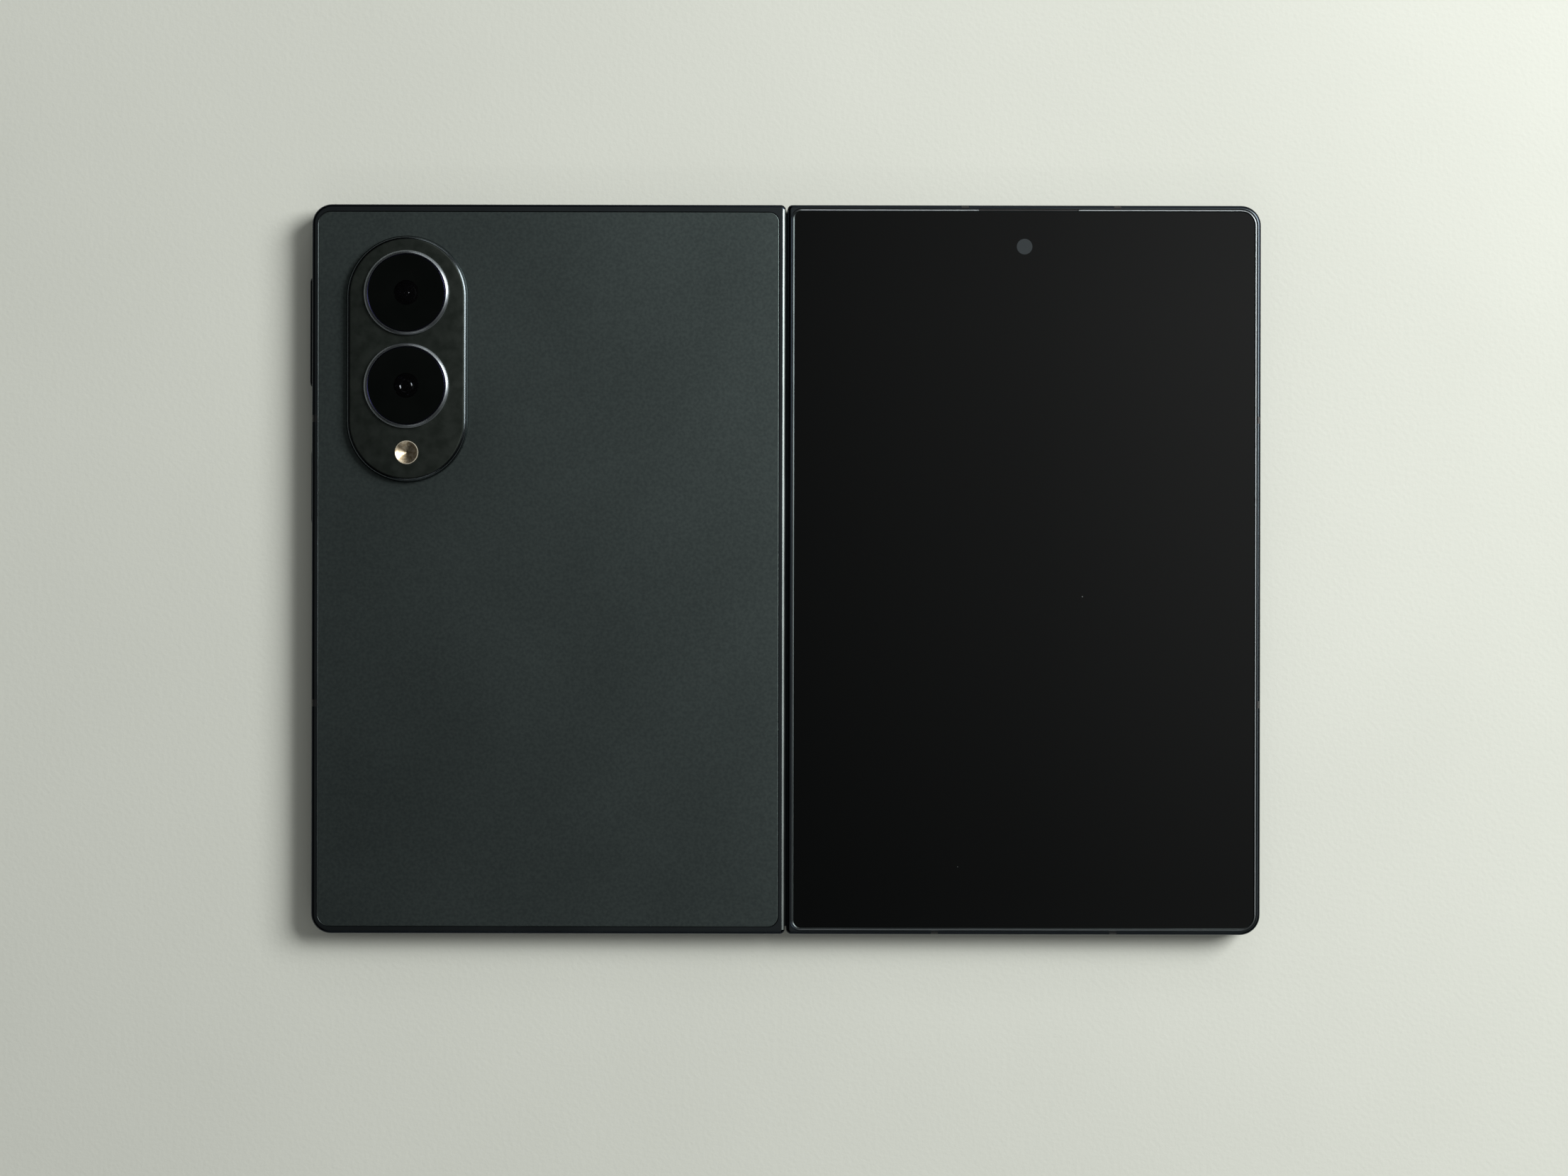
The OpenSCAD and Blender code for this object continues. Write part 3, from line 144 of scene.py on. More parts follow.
# ground hinge steel: mid grey, tight gloss
hingeSteel = workedMetal("groundHingeSteel", colours=("#777b80", "#898d92"),
                         rough=(0.24, 0.34), grit=0.15, relief=0.003, patchSize=3)
# machined brass of the timing gears: yellow, clean cut
gearBrass = workedMetal("machinedBrass", colours=("#b8924a", "#c9a45c"),
                        rough=(0.26, 0.34), grit=0.12, relief=0.002, patchSize=2)
# enamelled copper of coil, flex and key strip: orange under a varnish
coilCopper = workedMetal("enamelledCopper", colours=("#a65d35", "#b96f42"),
                         rough=(0.3, 0.4), grit=0.3, relief=0.004, patchSize=5)
# cut edge of the lens windows, where the anti-reflex coat shines a dark violet
violetEdge = workedMetal("coatedGlassEdgeViolet", colours=("#232139", "#2c2947"),
                         rough=(0.22, 0.28), grit=0.2, relief=0.001, patchSize=2)


# share of a surface that slopes more than an angle from level, in the piece's own space
def slopeMask(tree, fromDegrees, toDegrees):
    normal = addNode(tree, "SeparateXYZ", {"Vector": addNode(tree, "TexCoord").outputs["Normal"]})
    return addNode(tree, "MapRange", {
        "Value": normal.outputs["Z"], "From Min": math.cos(math.radians(fromDegrees)),
        "From Max": math.cos(math.radians(toDegrees))}).outputs["Result"]


# a milled and dyed metal with one colour on its faces and a darker colour on its sloping edges and
# sides, painted shade set by slope; the slopes also get their own roughness
def shadedSlopeMetal(name, look):
    material, tree, place = startMaterial(name)
    slope = slopeMask(tree, *look["edgeSlope"])
    face = patches(tree, place, look["patchSize"], *look["face"])
    # sloping faces take the darker edge colour: painted shade
    colour = addNode(tree, "Mix", {mixBy: slope, mixA: face, mixB: linear(look["edge"])},
                     data_type="RGBA").outputs[mixOut]
    rough = addNode(tree, "MapRange", {"Value": slope, "To Min": look["faceRough"],
                                       "To Max": look["edgeRough"]}).outputs["Result"]
    shader = addNode(tree, "BsdfPrincipled", {
        "Base Color": colour, "Metallic": 1.0, "Roughness": rough,
        "Normal": grain(tree, place, look["grit"], look["relief"])})
    return endMaterial(material, tree, shader)


# island: blasted matt on its face; its round edge is smoother, so that it draws a line where it
# mirrors the light, and painted darker, painted shade on the slope
islandLook = {"face": ("#4d554f", "#5f6761"), "edge": "#444a4c", "faceRough": 0.36,
              "edgeRough": 0.2, "edgeSlope": (8, 20), "grit": 0.2, "relief": 0.004, "patchSize": 2}
islandMetalShadedEdge = shadedSlopeMetal("milledAnodisedAluminium", islandLook)

# frame, dyed and anodised: satin slate faces; its round and upright sides are smoother and painted
# darker, painted shade where the rim mirrors the dark room; grit 0.1 mm drawn as 0.25 mm so that it
# shows
frameLook = {"face": ("#4a5154", "#545b5e"), "edge": "#1e2329", "faceRough": 0.34,
             "edgeRough": 0.22, "edgeSlope": (8, 20), "grit": 0.25, "relief": 0.003,
             "patchSize": 14}
frameMetalShadedSides = shadedSlopeMetal("dyedAnodisedAluminium", frameLook)


# acid-etched glass over a metallised dark coat: near black, with a soft cool bloom towards the
# light and a fine sparkle; etching 0.05 mm drawn as 0.5 mm so that it shows
rearGlass = {"coat": ("#5e6968", "#697573"), "sparkleSize": 0.5, "relief": 0.006,
             "rough": (0.4, 0.43), "bloomSize": 22}


def etchedGlass(name, look):
    material, tree, place = startMaterial(name)
    shader = addNode(tree, "BsdfPrincipled", {
        "Base Color": patches(tree, place, look["sparkleSize"], *look["coat"]),
        "Metallic": 1.0,
        "Roughness": wander(tree, place, look["bloomSize"], *look["rough"]),
        "Normal": grain(tree, place, look["sparkleSize"], look["relief"])})
    return endMaterial(material, tree, shader)


etchedRear = etchedGlass("acidEtchedGlassMetallised", rearGlass)

# polished display glass: black, mirror-like, with faint smudges, a few specks of dust and the grey
# disc of the punch-hole camera; its bevel is given a pale metal colour by slope, a painted
# highlight that the lamps brighten further
coverGlassLook = {"glass": "#040505", "rough": (0.03, 0.07), "smudgeSize": 24, "smudgeDetail": 5,
                  "bevel": "#c3cbcd", "bevelRough": 0.34, "bevelSlope": (10, 20),
                  "dust": "#5d6160", "dustCell": 9, "dustShare": 0.016, "dustCore": 0.6,
                  "hole": (40.4, 54.9), "holeRadius": 1.32, "holeBlur": 0.04,
                  "holeColour": "#33383a"}


def polishedGlass(name, look):
    material, tree, place = startMaterial(name)
    cells = addNode(tree, "TexVoronoi", {"Vector": place, "Scale": perSize(look["dustCell"]),
                                         "Randomness": 1.0})
    speck = addNode(tree, "MapRange", {
        "Value": cells.outputs["Distance"], "From Min": look["dustShare"],
        "From Max": look["dustShare"] * look["dustCore"]}).outputs["Result"]
    centre = [look["hole"][0] * mm, look["hole"][1] * mm, 0]
    flat = addNode(tree, "VectorMath", {0: place, 1: (1, 1, 0)}, operation="MULTIPLY")
    away = addNode(tree, "VectorMath", {0: flat.outputs[0], 1: centre}, operation="DISTANCE")
    hole = addNode(tree, "MapRange", {
        "Value": away.outputs["Value"],
        "From Min": (look["holeRadius"] + look["holeBlur"]) * mm,
        "From Max": (look["holeRadius"] - look["holeBlur"]) * mm}).outputs["Result"]
    # sloping faces take the pale bevel colour and turn metal: painted highlight
    bevel = slopeMask(tree, *look["bevelSlope"])
    colour = linear(look["glass"])
    for share, over in ((speck, "dust"), (hole, "holeColour"), (bevel, "bevel")):
        colour = addNode(tree, "Mix", {mixBy: share, mixA: colour, mixB: linear(look[over])},
                         data_type="RGBA").outputs[mixOut]
    smudges = wander(tree, place, look["smudgeSize"], *look["rough"], detail=look["smudgeDetail"])
    rough = addNode(tree, "Mix", {mixBy: bevel, floatA: smudges, floatB: look["bevelRough"]},
                    data_type="FLOAT")
    shader = addNode(tree, "BsdfPrincipled", {
        "Base Color": colour, "Metallic": bevel, "Roughness": rough.outputs[0], "IOR": 1.52})
    return endMaterial(material, tree, shader)


coverGlass = polishedGlass("polishedCoverGlass", coverGlassLook)


# moulded plastics, rubber, films and inked glass: colours and gloss change over patches, and each
# has its own grain, all in mm
def mouldedSurface(name, colours, rough, grit, relief, ior=1.5, patchSize=10, glossShare=0.7):
    material, tree, place = startMaterial(name)
    shader = addNode(tree, "BsdfPrincipled", {
        "Base Color": patches(tree, place, patchSize, *colours),
        "Roughness": wander(tree, place, patchSize * glossShare, *rough),
        "IOR": ior,
        "Normal": grain(tree, place, grit, relief)})
    return endMaterial(material, tree, shader)


# moulded antenna breaks: near black plastic, matt against the frame
breakPlastic = mouldedSurface("mouldedPolyamideSlate", colours=("#090a0b", "#0d0f10"),
                              rough=(0.4, 0.5), grit=0.3, relief=0.004, ior=1.53)
# moulded black plastic of speaker, receiver, tongue and grille: fine spark texture
blackPlastic = mouldedSurface("mouldedPolycarbonateBlack", colours=("#121314", "#191a1b"),
                              rough=(0.45, 0.6), grit=0.25, relief=0.008, ior=1.58)
# soft frame of the inner display: black thermoplastic rubber, matt and a little dusty
bezelRubber = mouldedSurface("mouldedRubberBlack", colours=("#141516", "#1c1d1e"),
                             rough=(0.6, 0.75), grit=0.3, relief=0.01)
# folding display film: black, smooth, with a faint orange peel that only shows in reflections
displayFilm = mouldedSurface("laminatedPolymerFilm", colours=("#050506", "#08090a"),
                             rough=(0.09, 0.13), grit=6, relief=0.004, patchSize=30)
# display panel under the cover glass: dead black laminate
panelBlack = mouldedSurface("laminatedDisplayPanel", colours=("#030304", "#050507"),
                            rough=(0.15, 0.22), grit=2, relief=0.002, patchSize=12)
# sensor face on the power key: smooth black coated glass
sensorGlass = mouldedSurface("coatedSensorGlass", colours=("#1c2126", "#23282d"),
                             rough=(0.16, 0.22), grit=0.3, relief=0.001, patchSize=3)
# housing of the camera blocks and barrels: black moulded, satin
cameraPlastic = mouldedSurface("mouldedLiquidCrystalPolymer", colours=("#0b0b0c", "#111112"),
                               rough=(0.3, 0.4), grit=0.2, relief=0.003, ior=1.55)
# phosphor over the flash chip: warm yellow, chalky
phosphor = mouldedSurface("phosphorCoatedChip", colours=("#c8b267", "#d8c47c"),
                          rough=(0.5, 0.6), grit=0.1, relief=0.006, patchSize=1)
# rim of the flash: moulded edge, pale and warm
flashRim = mouldedSurface("mouldedRimWarm", colours=("#9a9484", "#aaa494"),
                          rough=(0.3, 0.4), grit=0.2, relief=0.002, patchSize=1)
# lens windows where black ink backs the glass: deep black and glossy
inkedGlass = mouldedSurface("inkBackedWindowGlass", colours=("#060807", "#080a09"),
                            rough=(0.04, 0.06), grit=3, relief=0.0005, patchSize=5)


# circuit board: dark green solder mask over brighter copper lines; traces 0.4 mm apart drawn as
# 0.8 mm so that they show
boardLook = {"mask": "#12301f", "maskLight": "#173a27", "trace": "#2c5a3d", "tracePitch": 0.8,
             "traceWide": 0.06, "traceLong": 2.6, "rowHigh": 1.0, "rough": (0.3, 0.45),
             "glossSize": 6, "grit": 0.6, "relief": 0.01, "ior": 1.52}


def solderMask(name, look):
    material, tree, place = startMaterial(name)
    lines = addNode(tree, "TexBrick", {
        "Vector": place, "Scale": perSize(look["tracePitch"]), "Color1": linear(look["mask"]),
        "Color2": linear(look["maskLight"]), "Mortar": linear(look["trace"]),
        "Mortar Size": look["traceWide"], "Brick Width": look["traceLong"],
        "Row Height": look["rowHigh"]})
    shader = addNode(tree, "BsdfPrincipled", {
        "Base Color": lines.outputs["Color"],
        "Roughness": wander(tree, place, look["glossSize"], *look["rough"]), "IOR": look["ior"],
        "Normal": grain(tree, place, look["grit"], look["relief"])})
    return endMaterial(material, tree, shader)


boardMask = solderMask("solderMaskedLaminate", boardLook)

# cell wrap: black foil pouch with a soft crinkle about 3 mm long under a thin gloss coat
pouchLook = {"colours": ("#17181b", "#202226"), "patchSize": 8, "rough": (0.3, 0.5),
             "glossSize": 5, "crinkle": 3, "relief": 0.06, "ior": 1.5, "coat": 0.2,
             "coatRough": 0.2}


def foilPouch(name, look):
    material, tree, place = startMaterial(name)
    shader = addNode(tree, "BsdfPrincipled", {
        "Base Color": patches(tree, place, look["patchSize"], *look["colours"]),
        "Roughness": wander(tree, place, look["glossSize"], *look["rough"]), "IOR": look["ior"],
        "Coat Weight": look["coat"], "Coat Roughness": look["coatRough"],
        "Normal": grain(tree, place, look["crinkle"], look["relief"])})
    return endMaterial(material, tree, shader)


cellWrap = foilPouch("laminatedFoilPouch", pouchLook)

# clear middle of the lens windows: polished glass with a faint cool tint, so that the front
# element shows behind it
windowLook = {"tint": "#e8ecf0", "rough": (0.02, 0.04), "glossSize": 5, "ior": 1.5}


def clearGlass(name, look):
    material, tree, place = startMaterial(name)
    shader = addNode(tree, "BsdfPrincipled", {
        "Base Color": linear(look["tint"]), "IOR": look["ior"], "Transmission Weight": 1.0,
        "Roughness": wander(tree, place, look["glossSize"], *look["rough"])})
    return endMaterial(material, tree, shader)


windowGlass = clearGlass("coatedWindowGlass", windowLook)

# front element of each camera: near black glass whose coat turns violet towards its rim
elementLook = {"centre": "#020203", "rim": "#140f26", "turnsAt": 0.3, "rough": (0.02, 0.05),
               "glossSize": 2, "ior": 1.6}


def coatedElement(name, look):
    material, tree, place = startMaterial(name)
    facing = addNode(tree, "LayerWeight", {"Blend": look["turnsAt"]})
    ramp = addNode(tree, "ValToRGB", {"Fac": facing.outputs["Facing"]})
    for stop, colour in zip(ramp.color_ramp.elements, (look["centre"], look["rim"])):
        stop.color = linear(colour)
    shader = addNode(tree, "BsdfPrincipled", {
        "Base Color": ramp.outputs["Color"], "IOR": look["ior"],
        "Roughness": wander(tree, place, look["glossSize"], *look["rough"])})
    return endMaterial(material, tree, shader)


lensElement = coatedElement("coatedLensElement", elementLook)


# distance in metres from the nearest of some upright axes
def fromAxes(tree, place, centres):
    split = addNode(tree, "SeparateXYZ", {"Vector": place})
    nearest = None
    for x, y in centres:
        across = addNode(tree, "Math", {0: split.outputs["X"], 1: x * mm}, operation="SUBTRACT")
        along = addNode(tree, "Math", {0: split.outputs["Y"], 1: y * mm}, operation="SUBTRACT")
        flat = addNode(tree, "CombineXYZ", {"X": across.outputs[0], "Y": along.outputs[0]})
        radius = addNode(tree, "VectorMath", {0: flat.outputs[0]},
                         operation="LENGTH").outputs["Value"]
        nearest = radius if nearest is None else addNode(
            tree, "Math", {0: nearest, 1: radius}, operation="MINIMUM").outputs[0]
    return nearest


# flash cone: metallised warm reflector, a little mottled; its moulded steps, too fine to show one
# by one, add to its slope, so that it flares in a wedge towards the light
coneLook = {"centre": (-64.3, 19.7), "colours": ("#ab9878", "#e0d4bb"), "mottle": 0.45,
            "rough": (0.32, 0.42), "glossSize": 1, "stepSlope": 16}


def steppedReflector(name, look):
    material, tree, place = startMaterial(name)
    steps = addNode(tree, "Bump", {
        "Height": fromAxes(tree, place, [look["centre"]]), "Strength": 1.0,
        "Distance": math.tan(math.radians(look["stepSlope"]))})
    shader = addNode(tree, "BsdfPrincipled", {
        "Base Color": patches(tree, place, look["mottle"], *look["colours"]),
        "Metallic": 1.0,
        "Roughness": wander(tree, place, look["glossSize"], *look["rough"]),
        "Normal": steps.outputs["Normal"]})
    return endMaterial(material, tree, shader)


flashCone = steppedReflector("metallisedReflectorWarm", coneLook)


# cameras, both alike: radii from the lens axis and heights in mm; a facet of the front element is
# its outer radius and its width, which is negative where it slopes to the middle
cameraPiece = {
    "centres": {"upper": (-64.3, 46.7), "lower": (-64.3, 31.0)},
    "ringOuter": 7.2, "ringSleeve": 6.95, "ringInner": 6.75, "ringCrest": 6.74, "ringLip": 6.64,
    "ledgeInner": 6.2, "ringFoot": 5.7, "ledgeTop": 6.1, "ringSeat": 6.2, "ringWall": 6.62,
    "ringLipLow": 6.64, "ringTop": 6.95,
    "outerCut": (0.05, 0.06), "crestCut": (0.04, 0.015), "lipCut": (0.02, 0.01), "lipDrop": 0.04,
    "windowRadius": 6.7, "windowLow": 6.2, "windowStep": 6.6, "faceRadius": 6.61, "faceTop": 6.8,
    "bevelWide": 0.13, "bevelDrop": 0.05, "apertureRadius": 2.1,
    "elementRadius": 2.0, "elementTop": 5.84, "elementDeep": 0.8, "elementCurve": 40.0,
    "elementSteps": 12, "facetTilt": 25, "facetFoot": 0.01,
    "facets": {"upper": ((1.75, 0.13), (0.4, 0.08)), "lower": ((0.95, 0.11), (1.2, -0.18))},
}

# lens rings of turned and polished aluminium: grey, with fine turning lines round each lens that
# spread the light along the ring
ringLook = {"colours": ("#757b7e", "#858b8e"), "patchSize": 3, "rough": (0.3, 0.36),
            "glossSize": 4, "turningPitch": 0.12, "turningDepth": 0.0008}


def turnedRing(name, centres, look):
    material, tree, place = startMaterial(name)
    turns = addNode(tree, "Math", {0: fromAxes(tree, place, centres),
                                   1: fullTurn / (look["turningPitch"] * mm)},
                    operation="MULTIPLY")
    wave = addNode(tree, "Math", {0: turns.outputs[0]}, operation="SINE")
    bump = addNode(tree, "Bump", {"Height": wave.outputs[0], "Strength": 1.0,
                                  "Distance": look["turningDepth"] * mm})
    shader = addNode(tree, "BsdfPrincipled", {
        "Base Color": patches(tree, place, look["patchSize"], *look["colours"]),
        "Metallic": 1.0,
        "Roughness": wander(tree, place, look["glossSize"], *look["rough"]),
        "Normal": bump.outputs["Normal"]})
    return endMaterial(material, tree, shader)


turnedRings = turnedRing("turnedPolishedAluminium", cameraPiece["centres"].values(), ringLook)
print("materials: metals, glass, plastics and boards are made")


# puts a mesh into the scene, smooth except along edges sharper than the angle
def placeMesh(name, mesh, material, sharp):
    mesh.shade_smooth()
    mesh.set_sharp_from_angle(angle=math.radians(sharp))
    mesh.materials.append(material)
    piece = bpy.data.objects.new(name, mesh)
    bpy.context.scene.collection.objects.link(piece)
    return piece


# a mesh from points in mm
def makeMesh(name, points, faces, material, sharp=30):
    mesh = bpy.data.meshes.new(name)
    mesh.from_pydata([(x * mm, y * mm, z * mm) for x, y, z in points], [], faces)
    mesh.validate()
    return placeMesh(name, mesh, material, sharp)


# joins points that fall together and turns every face outwards
def mergeClose(piece, within=1e-7):
    work = bmesh.new()
    work.from_mesh(piece.data)
    bmesh.ops.remove_doubles(work, verts=work.verts, dist=within)
    bmesh.ops.recalc_face_normals(work, faces=work.faces)
    work.to_mesh(piece.data)
    work.free()


# turns a profile of (radius, z) round an upright axis; a closed profile gives a ring
def turnProfile(name, centre, profile, material, steps=128, closed=False, sharp=30):
    points, faces = [], []
    count = len(profile)
    for i in range(steps):
        turn = fullTurn * i / steps
        for radius, z in profile:
            points.append((centre[0] + radius * math.cos(turn),
                           centre[1] + radius * math.sin(turn), z))
    spans = count if closed else count - 1
    for i in range(steps):
        here, after = i * count, (i + 1) % steps * count
        for k in range(spans):
            nextK = (k + 1) % count
            faces.append((here + k, here + nextK, after + nextK, after + k))
    if not closed:
        for end, flip in ((0, True), (count - 1, False)):
            rim = [i * count + end for i in range(steps)]
            if profile[end][0] > 0:
                faces.append(rim[::-1] if flip else rim)
    piece = makeMesh(name, points, faces, material, sharp)
    if any(radius == 0 for radius, z in profile):
        mergeClose(piece)
    return piece


# joins loops of equally many points into one skin; an open row of loops gets a cap at each end
def skinLoops(name, loops, material, sharp=30, closed=False):
    count, rows = len(loops[0]), len(loops)
    points = [point for loop in loops for point in loop]
    faces = []
    for row in range(rows if closed else rows - 1):
        here, after = row * count, (row + 1) % rows * count
        for i in range(count):
            j = (i + 1) % count
            faces.append((here + i, here + j, after + j, after + i))
    if not closed:
        faces.append(tuple(reversed(range(count))))
        faces.append(tuple(range((rows - 1) * count, rows * count)))
    piece = makeMesh(name, points, faces, material, sharp)
    mergeClose(piece)
    return piece


# section of a ring from its foot over the seat and the crest to the ledge that holds the window
def ringProfile(look):
    sleeve, foot, seat = look["ringSleeve"], look["ringFoot"], look["ringSeat"]
    outer, wall, crest, top = (look["ring" + k] for k in ("Outer", "Wall", "Crest", "Top"))
    lip, lipLow, inner = look["ringLip"], look["ringLipLow"], look["ringInner"]
    ledge, ledgeTop = look["ledgeInner"], look["ledgeTop"]
    cut, crestCut, lipCut = look["outerCut"], look["crestCut"], look["lipCut"]
    return [(sleeve, foot), (sleeve, seat), (outer, seat), (outer, wall),
            (outer - cut[0], wall + cut[1]), (crest + crestCut[0], top - crestCut[1]),
            (crest, top), (lip + lipCut[0], top - lipCut[1]), (lip, top - look["lipDrop"]),
            (lip, lipLow), (inner, lipLow), (inner, ledgeTop), (ledge, ledgeTop), (ledge, foot)]


# front element: a shallow dome with fine raised facets that each catch one short glint
def elementProfile(look, which):
    top, curve, reach = look["elementTop"], look["elementCurve"], look["elementRadius"]
    low, foot, steps = top - look["elementDeep"], look["facetFoot"], look["elementSteps"]
    rise = math.tan(math.radians(look["facetTilt"]))

    def height(r):
        return top - curve + math.sqrt(curve * curve - r * r)

    facets = []
    for r, width in sorted(look["facets"][which], reverse=True):
        wide = abs(width)
        crest = r - wide if width > 0 else r - foot
        facets.append([(r, height(r)), (crest, height(r) + rise * wide),
                       (r - wide - foot, height(r))])
    profile = [(0, low), (reach, low), (reach, height(reach))]
    for i in range(1, steps):
        r = reach * (1 - i / steps)
        while facets and facets[0][0][0] > r:
            profile += facets.pop(0)
        if r < profile[-1][0] - 2 * foot:
            profile.append((r, height(r)))
    return profile + [(0, top)]


# window: clear in the middle, inked round it, and a coated bevel at its rim
def windowProfile(look):
    radius, low, step = look["windowRadius"], look["windowLow"], look["windowStep"]
    face, high, aperture = look["faceRadius"], look["faceTop"], look["apertureRadius"]
    return [(0, low), (aperture, low), (radius, low), (radius, step), (face, step),
            (face, high - look["bevelDrop"]), (face - look["bevelWide"], high),
            (aperture, high), (0, high)]


# distance of a face's middle from an upright axis, and its height, in mm
def faceFrom(centre, facet):
    return (Vector(facet.center[:2]) / mm - Vector(centre)).length, facet.center.z / mm


bevelFrom = cameraPiece["faceRadius"] - cameraPiece["bevelWide"]
bevelLow = cameraPiece["faceTop"] - cameraPiece["bevelDrop"]
for which, centre in cameraPiece["centres"].items():
    ring = turnProfile(which + "_ring_turned", centre, ringProfile(cameraPiece), turnedRings,
                       closed=True)
    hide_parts(which + "_lens_ring")
    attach(ring, "main_half")

    window = turnProfile(which + "_window_glass", centre, windowProfile(cameraPiece), windowGlass,
                         sharp=8)
    window.data.materials.append(inkedGlass)
    window.data.materials.append(violetEdge)
    for facet in window.data.polygons:
        away, z = faceFrom(centre, facet)
        if away > bevelFrom and z > bevelLow:
            facet.material_index = 2
        elif away > cameraPiece["apertureRadius"]:
            facet.material_index = 1
    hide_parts(which + "_lens_window")
    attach(window, "main_half")

    element = turnProfile(which + "_front_element", centre, elementProfile(cameraPiece, which),
                          lensElement, sharp=12)
    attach(element, which + "_focus")


# flash: warm cone with a pale rim, flush with the island
flashPiece = {"centre": coneLook["centre"], "radius": 2.0, "rimWidth": 0.13, "low": 5.8,
              "top": 6.32, "tipZ": 5.83, "edgeRound": 0.05, "steps": 96, "margin": 0.01}

radius, low, top = flashPiece["radius"], flashPiece["low"], flashPiece["top"]
inner, edge = radius - flashPiece["rimWidth"], flashPiece["edgeRound"]
flashProfile = [(0, low), (radius, low), (radius, top - edge), (radius - edge, top), (inner, top),
                (0, flashPiece["tipZ"])]
flash = turnProfile("flash_reflector", flashPiece["centre"], flashProfile, flashRim,
                    steps=flashPiece["steps"], sharp=12)
flash.data.materials.append(flashCone)
for facet in flash.data.polygons:
    away, z = faceFrom(flashPiece["centre"], facet)
    if away < inner - 2 * flashPiece["margin"] and z > low + flashPiece["margin"]:
        facet.material_index = 1
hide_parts("flash_window")
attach(flash, "main_half")

# island: a pill with a round edge, a hole for each camera and one for the flash; wallFrom is how
# far below its top the straight wall ends, in radii of the round edge
islandPiece = {"centre": (-64.3, 35.6), "width": 20.6, "length": 41.8, "low": 4.77, "top": 6.2,
               "edgeRound": 0.85, "wallFrom": 1.25, "roundStep": 6, "cameraHole": 7.0,
               "flashHole": 2.02}


# outline of an upright pill that is smaller all round by an inset
def islandOutline(look, inset, steps=40):
    r = look["width"] / 2 - inset
    straight = (look["length"] - look["width"]) / 2
    x, y = look["centre"]
    outline = []
    for side, start in ((1, 0), (-1, math.pi)):
        for i in range(steps + 1):
            turn = math.radians(180 * i / steps) + start
            outline.append((x + r * math.cos(turn), y + side * straight + r * math.sin(turn)))
    return outline


def circleOutline(centre, radius, steps=96):
    return [(centre[0] + radius * math.cos(fullTurn * i / steps),
             centre[1] + radius * math.sin(fullTurn * i / steps)) for i in range(steps)]


def makeIsland(look):
    work = bmesh.new()
    low, top, r = look["low"], look["top"], look["edgeRound"]
    levels = [(low, 0.0), (top - r * look["wallFrom"], 0.0)]
    for degrees in range(0, 91, look["roundStep"]):
        turn = math.radians(degrees)
        levels.append((top - r * (1 - math.sin(turn)), r * (1 - math.cos(turn))))

    def loop(outline, z):
        return [work.verts.new((x * mm, y * mm, z * mm)) for x, y in outline]

    def skin(lower, upper, flip):
        for i in range(len(lower)):
            j = (i + 1) % len(lower)
            quad = (lower[i], lower[j], upper[j], upper[i])
            work.faces.new(quad[::-1] if flip else quad)

    rings = [loop(islandOutline(look, inset), z) for z, inset in levels]
    for lower, upper in zip(rings, rings[1:]):
        skin(lower, upper, False)
    holes = [(centre, look["cameraHole"]) for centre in cameraPiece["centres"].values()]
    holes.append((flashPiece["centre"], look["flashHole"]))
    caps = {low: [rings[0]], top: [rings[-1]]}
    for centre, radius in holes:
        lower, upper = (loop(circleOutline(centre, radius), z) for z in (low, top))
        skin(lower, upper, True)
        caps[low].append(lower)
        caps[top].append(upper)
    for loops in caps.values():
        edges = [work.edges.get((ring[i], ring[(i + 1) % len(ring)]))
                 for ring in loops for i in range(len(ring))]
        bmesh.ops.triangle_fill(work, use_beauty=True, edges=edges)
    bmesh.ops.recalc_face_normals(work, faces=work.faces)
    mesh = bpy.data.meshes.new("island_body")
    work.to_mesh(mesh)
    work.free()
    return placeMesh("island_body", mesh, islandMetalShadedEdge, sharp=35)


island = makeIsland(islandPiece)
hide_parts("camera_island")
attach(island, "main_half")
print("camera island: rings, windows, elements and flash are made")


# keys: pills in the side wall with a round edge and a flange inside; the power key has a recess
# for its sensor, with a fine step at its mouth
keyPiece = {
    "keys": {"volume": {"node": "volume_key", "body": "volume_button", "y": 40.3, "length": 18.5,
                        "out": 0.48, "recess": None},
             "power": {"node": "power_key", "body": "power_button", "y": 13.9, "length": 12.8,
                       "out": 0.26, "recess": {"deep": 0.6, "inset": 0.75}}},
    "height": 2.1, "z": 2.575, "side": 80.6, "flangeX": 79.2, "flangeBack": 78.75,
    "flangeMore": 0.9, "edgeRound": 0.22, "roundStep": 15, "mouthDeep": 0.04, "mouthMore": 0.08,
}


# outline of a pill of a length and a height across the X axis at x
def pillOutline(x, y, z, length, height, steps=14):
    r = height / 2
    straight = length / 2 - r
    outline = []
    for side in (1, -1):
        for i in range(steps + 1):
            turn = math.radians(-90 + 180 * i / steps)
            outline.append((x, y + side * (straight + r * math.cos(turn)),
                            z + side * r * math.sin(turn)))
    return outline


